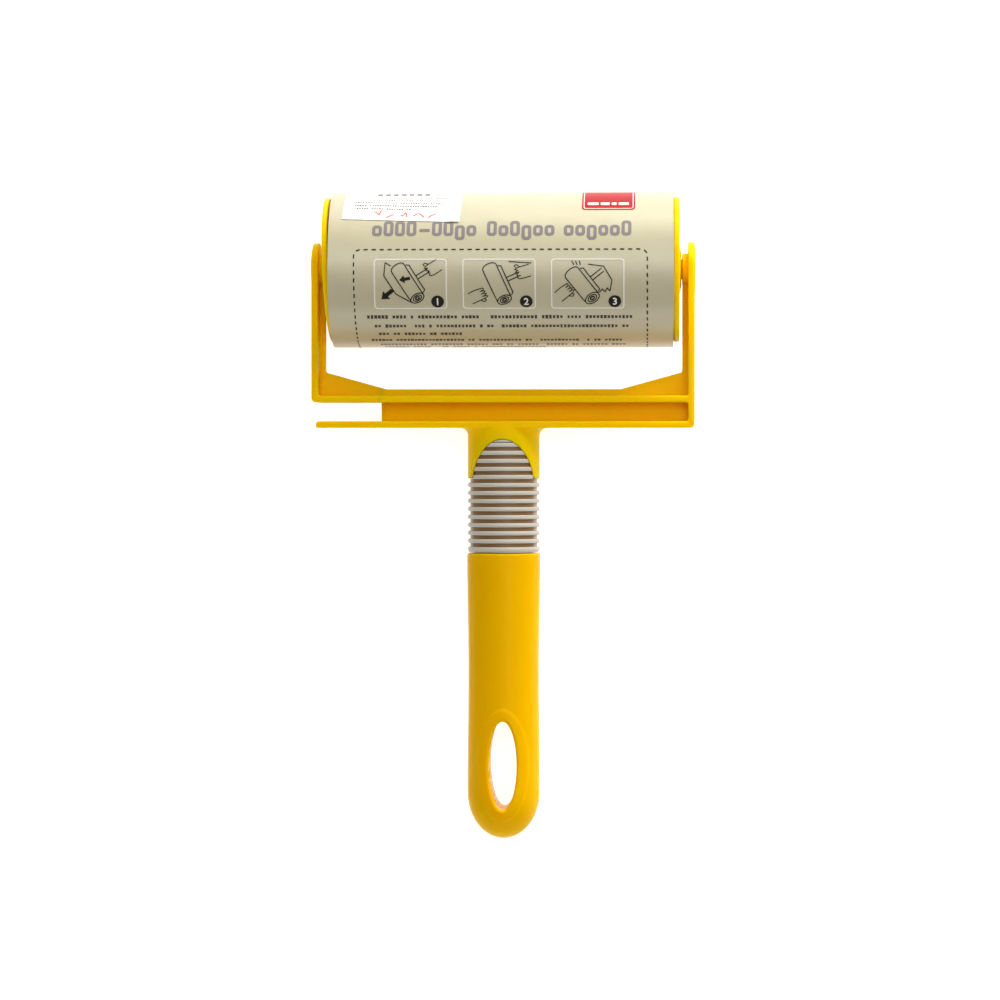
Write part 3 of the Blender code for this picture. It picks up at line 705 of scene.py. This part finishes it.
def handleHalf(y):
    top, foot = handleHigh.x, handleHigh.x - handle["footIn"]
    endY = handleLow.y + handle["endLength"]
    if y < endY:
        return foot * sqrt(max(0.0, 1 - ((endY - y) / handle["endLength"]) ** 2))
    along = min((handleHigh.y - y) / (handleHigh.y - endY), 1.0)
    straight = top + (foot - top) * along
    return straight - (straight - top + handle["waistIn"]) * sin(pi * along) ** 2


def makeHandle():
    topY, tipY = handleHigh.y, handleLow.y
    holeY = tipY + handle["holeFromEnd"]
    r, soft = handle["topRadius"], handle["holeRound"]
    stations = [(neck["stemFoot"] - 2.0, handle["bore"]), (topY - 0.3, handle["bore"]),
                (topY, handle["bore"] + 0.3)]
    stations += [(topY - r + r * sin(a), handleHalf(topY - r) - r + r * cos(a))
                 for a in [pi / 2 * (1 - k / 6) for k in range(7)]]
    y = topY - r
    while y > tipY + 0.6:
        fine = y < holeY + handle["padHalf"][1] + 2.5
        y -= handle["fineStep"] if fine else handle["coarseStep"]
        stations.append((y, handleHalf(y)))
    for share in (0.32, 0.14, 0.04):
        stations.append((tipY + share, handleHalf(tipY + share)))
    rows = [ovalRing(at, half, half * oval, handle["columns"]) for at, half in stations]
    for row in rows[3:]:
        for i, (x, at, z) in enumerate(row):
            rim = min(max(soft - ellipseGap(x, at - holeY, handle["holeHalf"]), 0.0), soft)
            sunk = soft - sqrt(soft ** 2 - rim ** 2)
            # the pad round the hole stands up on the front face only
            inPad = smoothStep(-ellipseGap(x, at - holeY, handle["padHalf"]) / handle["padEdge"])
            if z > 0:
                row[i] = (x, at, z - sunk + handle["padRise"] * inPad)
            elif z < -2 * sunk:
                row[i] = (x, at, z + sunk)
    rows = [[(0.0, stations[0][0], 0.0)]] + rows + [[(0.0, tipY, 0.0)]]
    made = asObject("yellow_handle", skin(rows))
    opening = arc((0.0, holeY), handle["holeHalf"], 0.0, 2 * pi, 128)[:-1]
    combine(made, asObject("hole", prism(opening, -20.0, 20.0)), "DIFFERENCE")
    finishPiece(made, "yoke", [handlePlastic], ["handle"], 40.0)


makeHandle()

# ---------- the end caps ----------
cap = {"step": 1.55, "inside": 50.06, "thick": 1.64, "edge": 0.45, "hubBase": 8.1, "hubTop": 5.2,
       "hubRise": 0.6, "seatRadius": 3.3, "seatFloor": 50.1, "plugRadius": 18.7, "plugWall": 1.6,
       "plugLength": 10.0, "lean": 2.3}


def makeCap(side, name, node, lean):
    inside, e, seat, top = cap["inside"], cap["edge"], cap["seatRadius"], cap["hubTop"]
    plug, plugEnd = cap["plugRadius"], inside - cap["plugLength"]
    bore = plug - cap["plugWall"]
    face = inside + cap["thick"]
    hub = face + cap["hubRise"]
    outer = rollRadius - cap["step"]
    profile = [(cap["seatFloor"], 0.0), (cap["seatFloor"], 0.8), (hub - 0.1, seat - 0.1),
               (hub, seat + 0.1), (hub, top - 0.15), (hub - 0.1, top + 0.2),
               (face + 0.04, cap["hubBase"]), (face, cap["hubBase"] + 0.25)]
    profile += [(face, radius) for radius in (10.5, 13.0, 15.5, 18.0)]
    profile += [(face - 0.06, outer - 2.2), (face - 0.06, outer - 1.6), (face, outer - 1.4)]
    for k in range(4, -1, -1):    # the rim's two rounded edges
        a = pi / 2 * (k / 4)
        profile.append((face - e + e * sin(a), outer - e + e * cos(a)))
    for k in range(1, 5):
        a = pi / 2 * k / 4
        profile.append((inside + e - e * sin(a), outer - e + e * cos(a)))
    profile += [(inside, plug + 0.2), (inside - 0.2, plug), (plugEnd + 0.8, plug), (plugEnd, plug - 0.5),
                (plugEnd, bore), (inside - 0.2, bore), (inside, bore - 0.2), (inside, 6.0),
                (inside - 0.2, 5.8), (inside - 2.0, 5.7), (inside - 2.0, 0.0)]
    shape = skin([axleRing(side * x, radius, 128) for x, radius in profile])
    for vertex in shape.verts:   # the disc sits a little askew; the hub and the plug stay true
        x, y, z = vertex.co
        if abs(x) > inside - 0.05:
            share = smoothStep((sqrt(y * y + z * z) - 8.5) / 9.0)
            vertex.co.x += side * tan(radians(lean)) * y * share
    finishPiece(asObject(name, shape), "roll", [yellowPlastic], [node])


makeCap(-1, "left_cap", "left_end_cap", cap["lean"])
makeCap(1, "right_cap", "right_end_cap", 0.0)

# ---------- the paper roll ----------
roll = {"coreBore": 19.0, "coreRadius": 20.0, "sheetsBore": 20.3, "layer": 0.15, "sleeveWall": 0.3,
        "lap": 0.1, "lapAngle": -52.0, "steps": 180}


def tube(name, rings, steps):
    # rings are (x, radius) round the wall
    return asObject(name, skin([axleRing(x, radius, steps) for x, radius in rings], loop=True))


def makeRoll():
    end, out, bore, soft = halfSheet, roll["coreRadius"], roll["coreBore"], 0.1
    core = tube("board_core", [(end - soft, out), (-end + soft, out), (-end, out - soft),
                               (-end, bore + soft), (-end + soft, bore), (end - soft, bore),
                               (end, bore + soft), (end, out - soft)], 128)
    finishPiece(core, "roll", [coreBoard], ["paper_core"])
    # wound sheets: each layer's edge stands a hair in or out from the last
    draw = Random(11)
    layers = int((rollRadius - roll["sleeveWall"] - 0.3 - roll["sheetsBore"]) / roll["layer"])
    ends = [[end - draw.uniform(0.02, 0.22) for _ in range(layers)] for _ in range(2)]
    rings = [(ends[0][k], roll["sheetsBore"] + (k + edge) * roll["layer"])
             for k in range(layers) for edge in (0.0, 0.9)]
    rings += [(-ends[1][k], roll["sheetsBore"] + (k + edge) * roll["layer"])
              for k in reversed(range(layers)) for edge in (0.9, 0.0)]
    finishPiece(tube("wound_sheets", rings, 128), "roll", [windings],
                ["sheet_roll"], 25.0)


def makeSleeve():
    # the wrapper's wall grows by its lap, and steps back down behind the roll
    count = roll["steps"]
    rows = []
    lap = radians(roll["lapAngle"])
    end, soft = halfSheet, 0.06
    stations = [(-end, 0), (-end + soft, 1)]
    stations += [(-end + soft + (2 * end - 2 * soft) * k / 24, 1) for k in range(1, 25)]
    inner = rollRadius - roll["sleeveWall"]
    for x, full in stations + [(end, 0), (end, -1), (-end, -1)]:
        row = []
        for i in range(count + 1):
            angle = lap + 2 * pi * i / (count + 1)
            wander = 0.04 * sin(3 * angle + x * 0.05) * (abs(x) / end) ** 4
            outside = rollRadius - 0.01 + roll["lap"] * smoothStep((i / count - 0.88) / 0.02)
            radius = inner if full < 0 else outside - (soft if full == 0 else 0.0)
            row.append((x + wander, radius * cos(angle), radius * sin(angle)))
        rows.append(row)
    made = asObject("printed_sleeve", skin(rows, loop=True))
    finishPiece(made, "roll", [sleevePaper], ["protective_sleeve"], 30.0)


makeRoll()
makeSleeve()
inkRadius = rollRadius + 0.04
inkFoot, inkTop = -0.03, 0.02   # an ink's two faces, from inkRadius
wrapStep = 0.9                  # the longest straight step round the roll


def wrap(shape, lift=0.0):
    # flat layout to the roll: x along the axis, y round it towards the handle, z outwards
    for vertex in shape.verts:
        x, y, z = vertex.co
        angle, reach = y / rollRadius, inkRadius + z + lift
        vertex.co = (x, -reach * sin(angle), reach * cos(angle))
    return shape


def turnToLayout(degreesFromTop):
    return rollRadius * radians(degreesFromTop - 90)


def cappedSkin(rows):
    shape = skin(rows)
    for row in (rows[0], rows[-1]):
        nearest = [min(shape.verts, key=lambda v: (v.co - Vector(spot)).length) for spot in row]
        shape.faces.new(nearest)
    bmesh.ops.recalc_face_normals(shape, faces=shape.faces)
    return shape


def sheetPrism(x0, x1, y0, y1, low, high):
    # a flat sheet with a wall, cut finely enough round the roll to wrap smoothly
    count = max(2, ceil(abs(y1 - y0) / wrapStep))
    rows = []
    for i in range(count + 1):
        y = y0 + (y1 - y0) * (i / count)
        rows.append([(x0, y, low), (x1, y, low), (x1, y, high), (x0, y, high)])
    return cappedSkin(rows)


def strokePath(points, width, closed=False):
    # a pen line of even width with mitred corners
    fine = []
    ends = points + points[:1] if closed else points
    for a, b in zip(ends, ends[1:]):
        a, b = Vector(a), Vector(b)
        parts = max(1, ceil((b - a).length / wrapStep))
        fine += [a.lerp(b, k / parts) for k in range(parts)]
    if not closed:
        fine.append(Vector(points[-1]))
    rows = []
    for i, spot in enumerate(fine):
        last = fine[i - 1] if closed or i else spot
        after = fine[(i + 1) % len(fine)] if closed or i < len(fine) - 1 else spot
        into = (spot - last).normalized() if (spot - last).length else (after - spot).normalized()
        out = (after - spot).normalized() if (after - spot).length else into
        side = Vector((-(into + out).y, (into + out).x))
        side = side.normalized() if side.length > 1e-6 else Vector((-into.y, into.x))
        wide = width / 2 / max(0.5, side.dot(Vector((-into.y, into.x))))
        a, b = spot + side * wide, spot - side * wide
        rows.append([(a.x, a.y, inkFoot), (b.x, b.y, inkFoot), (b.x, b.y, inkTop), (a.x, a.y, inkTop)])
    return skin(rows, loop=True) if closed else cappedSkin(rows)


def roundedBox(x0, x1, y0, y1, radius, steps=4):
    corners = ((x0, y0), (x1, y0), (x1, y1), (x0, y1))
    return roundedOutline([(*corner, radius) for corner in corners], steps)


class InkSheet:
    # collects flat shapes of several inks into one mesh on the roll
    def __init__(self, names):
        self.names = names
        self.shape = bmesh.new()

    def add(self, part, ink, lift=0.0):
        wrap(part, lift)
        bmesh.ops.recalc_face_normals(part, faces=part.faces)
        for face in part.faces:
            face.material_index = self.names.index(ink)
        mesh = bpy.data.meshes.new("ink")
        part.to_mesh(mesh)
        part.free()
        self.shape.from_mesh(mesh)
        bpy.data.meshes.remove(mesh)

    def bar(self, x0, x1, y0, y1, ink, radius=0.0, lift=0.0):
        if radius:
            part = prism(roundedBox(x0, x1, y0, y1, radius, 5), inkFoot, inkTop)
            for k in range(1, ceil((y1 - y0) / wrapStep)):   # so that it can follow the roll
                cutAcross(part, (0.0, y0 + wrapStep * k, 0.0), (0.0, 1.0, 0.0))
        else:
            part = sheetPrism(x0, x1, y0, y1, inkFoot, inkTop)
        self.add(part, ink, lift)

    def line(self, points, ink, width=0.3, closed=False, lift=0.0):
        self.add(strokePath(points, width, closed), ink, lift)

    def finish(self, name, slot):
        made = asObject(name, self.shape)
        finishPiece(made, "roll", [inks[n] for n in self.names])


# ---------- the print on the sleeve ----------
printing = {"titleX": (-37.4, 38.0), "titleTurn": (55.0, 67.5), "frameX": 42.35, "frameTurn": 78.0,
            "frameEnd": 44.0, "frameCorner": 2.0, "panelTurn": (85.3, 121.8), "panelHalf": 10.4,
            "panelCentres": (-26.0, -0.35, 25.2), "discTurn": 116.4, "discRadius": 1.85, "discIn": 2.6,
            "textX": (-38.5, 37.6), "textTurn": 129.4, "textPitch": 3.55,
            "badgeX": (23.4, 38.8), "badgeTurn": (12.0, 44.0)}
marks = markTree()


def markLines(name, lines, ink, values):
    # the carrier mesh is only the lines that the marks follow
    carrier = asObject(name, None)
    spots, edges = [], []
    for line in lines:
        start = len(spots)
        spots += [(x, y, 0.0) for x, y in line]
        edges += [(start + i, start + i + 1) for i in range(len(line) - 1)]
    carrier.data.from_pydata(spots, edges, [])
    grow(carrier, marks, {"Ink": 0.05, "Radius": rollRadius + 0.03, "Material": ink, **values})
    finishPiece(carrier, "roll", [ink])


def drawTitle(sheet):
    # a bold heading as a row of hollow blocks, tall and short, and no letters
    draw = Random(5)
    left, right = printing["titleX"]
    top, foot = (turnToLayout(t) for t in printing["titleTurn"])
    groups, gaps = (4, 1, 4, 6, 6), (0.35, 0.35, 2.6, 2.2)
    width = (right - left - sum(gaps)) / sum(groups)
    x = left
    middle = (top + foot) / 2
    for k, blocks in enumerate(groups):
        for _ in range(blocks):
            if k == 1:
                sheet.bar(x + 0.2, x + width, middle + 0.2, middle + 1.2, "greyInk", 0.45)
            else:
                tall = draw.random()
                up = 1.5 if tall > 0.72 else 0.0
                down = 1.3 if tall < 0.14 else 0.0
                ring = roundedBox(x + 0.72, x + width - 0.72, top + 1.95 - up, foot - 0.45 + down, 0.6)
                sheet.line(ring, "greyInk", 0.95, closed=True)
            x += width
        if k < len(gaps):
            x += gaps[k]


def atPlace(points, x, y, turn, scale=1.0):
    spun = Matrix.Rotation(turn, 2)
    return [tuple(Vector((x, y)) + spun @ (Vector(p) * scale)) for p in points]


def drawRoller(sheet, x, y, turn, length=10.5, wide=4.2):
    # a plain roller seen at an angle: the roll, its end rings and its stalk
    half, r = length / 2, wide / 2
    far = arc((0.0, -half), (r, 0.5 * r), pi, 2 * pi, 14)
    for line in ([(-r, -half), (-r, half)], [(r, -half), (r, half)], far):
        sheet.line(atPlace(line, x, y, turn), "blackInk")
    for share in (1.0, 0.62, 0.28):
        loop = arc((0.0, half), (r * share, 0.62 * (r * share)), 0.0, 2 * pi, 24)[:-1]
        sheet.line(atPlace(loop, x, y, turn), "blackInk", 0.4 if share < 0.5 else 0.3, closed=True)
    yoke = [(r + 0.3, half * 0.9), (r + 1.1, half * 0.8), (r + 1.1, -half * 0.8), (r + 0.3, -half * 0.9)]
    stalk = [[(r + 1.1, edge), (r + 5.2, edge)] for edge in (-0.55, 0.55)]
    for line in [yoke] + stalk:
        sheet.line(atPlace(line, x, y, turn), "blackInk")


def drawHand(sheet, x, y, turn, spread=False):
    # a hand from the side: a back, four finger ends, a thumb and the wrist
    reach, size = 1.5 if spread else 0.7, 0.95
    fingers = [(-1.9, -3.4), (-1.7, -0.4)]
    for k in range(4):
        at = -1.2 + 0.85 * k
        fingers += [(at - 0.36, reach - 0.3), (at, reach + 0.4 - 0.12 * k), (at + 0.36, reach - 0.3),
                    (at + 0.42, 0.2)]
    fingers += [(1.9, -0.9), (1.7, -3.4)]
    thumb = [(-1.7, -0.6), (-2.6, 0.3), (-2.3, 1.0), (-1.7, 0.7)]
    for line in (fingers, thumb):
        sheet.line(atPlace(line, x, y, turn, size), "blackInk", 0.26)


def drawArrow(sheet, x, y, turn, size=1.0):
    shape = [(-0.45, -1.6), (0.45, -1.6), (0.45, 0.1), (1.15, 0.1), (0.0, 1.6), (-1.15, 0.1),
             (-0.45, 0.1)]
    sheet.add(prism(atPlace(shape, x, y, turn, size), inkFoot, inkTop), "blackInk")


def drawNumber(sheet, number, x, y):
    # a white figure on a black disc
    disc = arc((x, y), printing["discRadius"], 0.0, 2 * pi, 28)[:-1]
    sheet.add(prism(disc, inkFoot, inkTop), "blackInk", 0.03)
    font = bpy.data.curves.new("number", "FONT")
    font.body = str(number)
    font.size = 3.0
    font.offset = 0.05
    font.extrude = 0.03
    font.align_x, font.align_y = "CENTER", "CENTER"
    text = bpy.data.objects.new("number", font)
    bpy.context.scene.collection.objects.link(text)
    graph = bpy.context.evaluated_depsgraph_get()
    mesh = bpy.data.meshes.new_from_object(text.evaluated_get(graph), depsgraph=graph)
    bpy.data.objects.remove(text, do_unlink=True)
    figure = bmesh.new()
    figure.from_mesh(mesh)
    bpy.data.meshes.remove(mesh)
    bmesh.ops.remove_doubles(figure, verts=figure.verts, dist=1e-4)
    spots = [vertex.co.copy() for vertex in figure.verts]
    middle = [(min(spot[i] for spot in spots) + max(spot[i] for spot in spots)) / 2 for i in (0, 1)]
    for vertex in figure.verts:
        vertex.co = (x + vertex.co.x - middle[0], y - vertex.co.y + middle[1], vertex.co.z)
    sheet.add(figure, "whiteInk", 0.05)


# each panel's drawing: lines and arrows from the panel's middle; a roller and hands with their turn
panels = (
    {"roller": (-0.8, -0.4, -32), "hands": ((5.6, -4.2, 62, False),),      # a sheet peels off the roll
     "arrows": ((-6.8, 3.0, 50, 1.35), (-1.6, -1.6, 80, 1.0)),
     "lines": (((-7.2, -6.4), (-7.6, -2.6), (-4.2, 2.8), (0.2, 5.4)), ((-7.2, -6.4), (-5.6, -5.4)))},
    {"roller": (-0.6, -0.2, -24), "hands": ((5.8, -3.4, 78, False), (-5.4, 3.0, -112, True)),
     "lines": (((2.8, -6.6), (9.4, -6.2)),)},                               # it passes over cloth
    {"roller": (-1.6, 0.4, -38, 9.5, 4.6), "hands": ((-6.0, 1.8, -128, True),),
     "lines": (((0.2, -5.8), (4.6, -5.2), (7.0, -1.2), (6.4, 2.0)),         # the used sheet is torn off
               ((6.4, 2.0), (5.6, 1.1), (5.0, 2.2), (4.2, 1.4), (3.4, 2.4)),
               ((-4.6, -6.8), (-3.9, -5.6)), ((-3.5, -6.8), (-3.0, -5.6)),
               ((-2.4, -6.8), (-2.1, -5.6)))})


def drawPanels(sheet):
    top, foot = (turnToLayout(t) for t in printing["panelTurn"])
    half, middle = printing["panelHalf"], (top + foot) / 2
    for number, (centre, panel) in enumerate(zip(printing["panelCentres"], panels), 1):
        frame = roundedBox(centre - half, centre + half, top, foot, 0.8)
        sheet.line(frame, "whiteInk", 0.34, closed=True)
        x, y, turn, *size = panel["roller"]
        drawRoller(sheet, centre + x, middle + y, radians(turn), *size)
        for line in panel["lines"]:
            sheet.line([(centre + x, middle + y) for x, y in line], "blackInk")
        for x, y, turn, size in panel.get("arrows", ()):
            drawArrow(sheet, centre + x, middle + y, radians(turn), size)
        for x, y, turn, spread in panel["hands"]:
            drawHand(sheet, centre + x, middle + y, radians(turn), spread)
        drawNumber(sheet, number, centre + half - printing["discIn"], turnToLayout(printing["discTurn"]))


def drawBadge(sheet):
    # a plain red seal with a white inner line and a row of white bars
    (x0, x1), (y0, y1) = printing["badgeX"], (turnToLayout(t) for t in printing["badgeTurn"])
    sheet.bar(x0, x1, y0, y1, "redInk", 1.0)
    inner = roundedBox(x0 + 0.6, x1 - 0.6, y0 + 0.6, y1 - 0.6, 0.7)
    sheet.line(inner, "whiteInk", 0.22, closed=True, lift=0.03)
    for x, wide in ((x0 + 1.6, 3.2), (x0 + 5.4, 2.6), (x0 + 8.6, 1.4), (x0 + 10.6, 3.0)):
        sheet.bar(x, x + wide, y1 - 3.6, y1 - 2.3, "whiteInk", 0.3, lift=0.03)


def makePrint():
    sheet = InkSheet(["blackInk", "greyInk", "whiteInk", "redInk"])
    drawTitle(sheet)
    drawPanels(sheet)
    drawBadge(sheet)
    sheet.finish("sleeve_print", "printed_paper")
    side, top, end = printing["frameX"], turnToLayout(printing["frameTurn"]), printing["frameEnd"]
    c = printing["frameCorner"]
    path = roundedOutline([(side, end, c), (-side, end, c), (-side, top, c), (side, top, c)], 6)
    markLines("dashed_border", [path + path[:1]], inks["blackInk"], {
        "Pitch": 2.3, "Mark Length": 1.25, "Mark Height": 0.42, "Spaces": 0.0, "Length Spread": 0.05,
        "Height Spread": 0.1, "Seed": 1})
    left, right = printing["textX"]
    spans = [(left, right), (left + 2.0, right), (left + 2.0, -12.0), (left + 0.6, right - 3.0),
             (left + 3.0, right - 2.0), (left + 3.0, 12.0)]
    rows = [turnToLayout(printing["textTurn"]) + printing["textPitch"] * k for k in range(len(spans))]
    lines = [[(start, y), (stop, y)] for (start, stop), y in zip(spans, rows)]
    markLines("small_print", lines, inks["textInk"], {
        "Pitch": 1.05, "Mark Length": 0.86, "Mark Height": 1.3, "Spaces": 0.16, "Length Spread": 0.3,
        "Height Spread": 0.35, "Seed": 7})


makePrint()

# ---------- the price label and the tape ----------
label = {"x": (-46.2, -12.0), "turn": (-20.0, 53.0), "slant": 2.6, "wall": 0.1, "lift": 0.05,
         "curl": 0.35, "across": 24, "down": 46}
tape = {"x": 45.0, "turn": (-62.0, -42.0), "lift": 0.05, "wall": 0.05}


def labelSpot(x, y):
    # the label is stuck on a little askew, and its lower right corner has lifted
    x0, x1 = label["x"]
    y0, y1 = (turnToLayout(t) for t in label["turn"])
    lean = tan(radians(label["slant"]))
    corner = smoothStep((x - x1 + 5) / 5) * smoothStep((y - y1 + 5) / 5) * label["curl"]
    return x - (y - y1) * lean, y + (x - x0) * lean * 0.8, corner


def makeLabel():
    (x0, x1), (y0, y1) = label["x"], (turnToLayout(t) for t in label["turn"])
    across, down = label["across"], label["down"]
    shape = bmesh.new()
    grid = {}
    for level in (0, 1):
        for i in range(across + 1):
            for j in range(down + 1):
                x, y, z = labelSpot(x0 + (x1 - x0) * i / across, y0 + (y1 - y0) * j / down)
                grid[level, i, j] = shape.verts.new((x, y, z + label["lift"] + level * label["wall"]))
    for i in range(across):
        for j in range(down):
            for level in (0, 1):
                shape.faces.new([grid[level, i, j], grid[level, i + 1, j], grid[level, i + 1, j + 1],
                                 grid[level, i, j + 1]])
    rim = ([(i, 0) for i in range(across)] + [(across, j) for j in range(down)]
           + [(i, down) for i in range(across, 0, -1)] + [(0, j) for j in range(down, 0, -1)])
    for a, b in zip(rim, rim[1:] + rim[:1]):
        shape.faces.new([grid[0, *a], grid[0, *b], grid[1, *b], grid[1, *a]])
    finishPiece(asObject("white_label", wrap(shape)), "roll", [labelPaper],
                ["price_label"])
    top = label["lift"] + label["wall"]
    sheet = InkSheet(["blackInk", "redPen"])
    draw = Random(3)
    for k in range(7):     # a bold code, as blocks
        x, y = x0 + 9.5 + k * 2.3, y1 - 13.6
        sheet.bar(x + 0.2, x + 1.8, y, y + 1.5, "blackInk", 0.35, lift=top)
    pen = []
    x = x0 + 9.0
    while x < x1 - 2.5:    # a hand-written note, only a scrawl
        pen.append((x, y1 - 2.5 + draw.uniform(-1.5, 1.5)))
        x += draw.uniform(0.5, 1.1)
    for k in range(0, len(pen) - 4, 5):
        sheet.line([labelSpot(*p)[:2] for p in pen[k:k + 4]], "redPen", 0.4, lift=top)
    sheet.finish("label_code", "white_label")
    lines = []
    for k, stop in enumerate((26.0, 21.5, 25.0, 23.5, 16.0)):
        y = y1 - 10.9 + 1.55 * k
        a, b = labelSpot(x0 + 3.4, y), labelSpot(x0 + 3.4 + stop, y)
        lines.append([a[:2], b[:2]])
    markLines("label_small_print", lines, inks["blackInk"], {
        "Pitch": 0.72, "Mark Length": 0.58, "Mark Height": 0.6, "Spaces": 0.16, "Length Spread": 0.3,
        "Height Spread": 0.3, "Seed": 4, "Radius": rollRadius + top + 0.03})


def makeTape():
    y0, y1 = (turnToLayout(t) for t in tape["turn"])
    shape = sheetPrism(-tape["x"], tape["x"], y0, y1, tape["lift"], tape["lift"] + tape["wall"])
    finishPiece(asObject("clear_tape", wrap(shape)), "roll", [clearTape], ["sleeve_tape"])


makeLabel()
makeTape()
print("pieces made")

# ---------- table, lights and camera ----------
studio = {"floor": ("#D2D2D1", "#CFCFCE"), "floorHalf": 3.0, "floorGlow": 0.8, "ambient": 0.22}
# each light: place, aim, size, power, colour
lights = {
    "key": ((0.56, 1.0, 0.44), (0.0, 0.0, 0.0), (0.9, 0.6), 17.0, (1.0, 0.99, 0.96)),
    "overhead": ((0.12, 0.14, 1.3), (0.0, 0.0, 0.0), (1.0, 0.45), 5.7, (1.0, 1.0, 1.0)),
    "low": ((0.0, -0.9, 0.26), (0.0, 0.0, 0.0), (1.2, 0.2), 1.8, (1.0, 1.0, 1.0)),
    "back": ((-0.1, 1.2, 0.24), (0.0, 0.05, 0.0), (1.2, 0.2), 3.0, (1.0, 0.99, 0.95))}


def makeFloor():
    half = studio["floorHalf"]
    made = asObject("table_top", prism([(-half, -half), (half, -half), (half, half), (-half, half)],
                                       -0.02, 0.0))
    paint = newMaterial("matt_white_board", {
        "colours": studio["floor"], "patch": 60.0, "roughness": (0.85, 0.95), "grain": 3.0,
        "depth": 0.01, "surface": {"Specular IOR Level": 0.1, "Emission Color": (1.0, 1.0, 1.0, 1.0),
                                   "Emission Strength": studio["floorGlow"]}})
    made.data.materials.append(paint)


def areaLight(name, place, aim, size, power, colour):
    light = bpy.data.lights.new(name, "AREA")
    light.shape = "RECTANGLE"
    light.size, light.size_y = size
    light.energy = power
    light.color = colour
    made = bpy.data.objects.new(name, light)
    made.location = place
    made.rotation_euler = (Vector(aim) - Vector(place)).to_track_quat("-Z", "Y").to_euler()
    bpy.context.scene.collection.objects.link(made)


def makeStudio():
    scene = bpy.context.scene
    world = bpy.data.worlds.new("studio")
    world.use_nodes = True
    sky = world.node_tree.nodes["Background"]
    sky.inputs["Color"].default_value = (1.0, 1.0, 1.0, 1.0)
    sky.inputs["Strength"].default_value = studio["ambient"]
    scene.world = world
    scene.view_settings.view_transform = "Standard"
    for name, setting in lights.items():
        areaLight(name, *setting)


# the camera stands over the roll's right half and looks a little down the handle
view = {"stand": (43.2, -50.2, 950.0), "aim": (-1.1, -67.9, 0.0), "lens": 115.9, "sensor": 36.0}


def makeCamera():
    stand, aim = Vector(view["stand"]), Vector(view["aim"])
    ahead = (aim - stand).normalized()
    right = ahead.cross(Vector((0.0, 1.0, 0.0))).normalized()
    up = right.cross(ahead)
    turn = Matrix((right, up, -ahead)).transposed().to_4x4()
    lens = bpy.data.cameras.new("camera")
    lens.lens = view["lens"]
    lens.sensor_width = view["sensor"]
    lens.clip_end = 20.0
    made = bpy.data.objects.new("camera", lens)
    made.matrix_world = Matrix.Translation(toolFrame @ stand) @ Matrix.Rotation(toolTilt, 4, "X") @ turn
    bpy.context.scene.collection.objects.link(made)
    bpy.context.scene.camera = made


makeFloor()
makeStudio()
makeCamera()
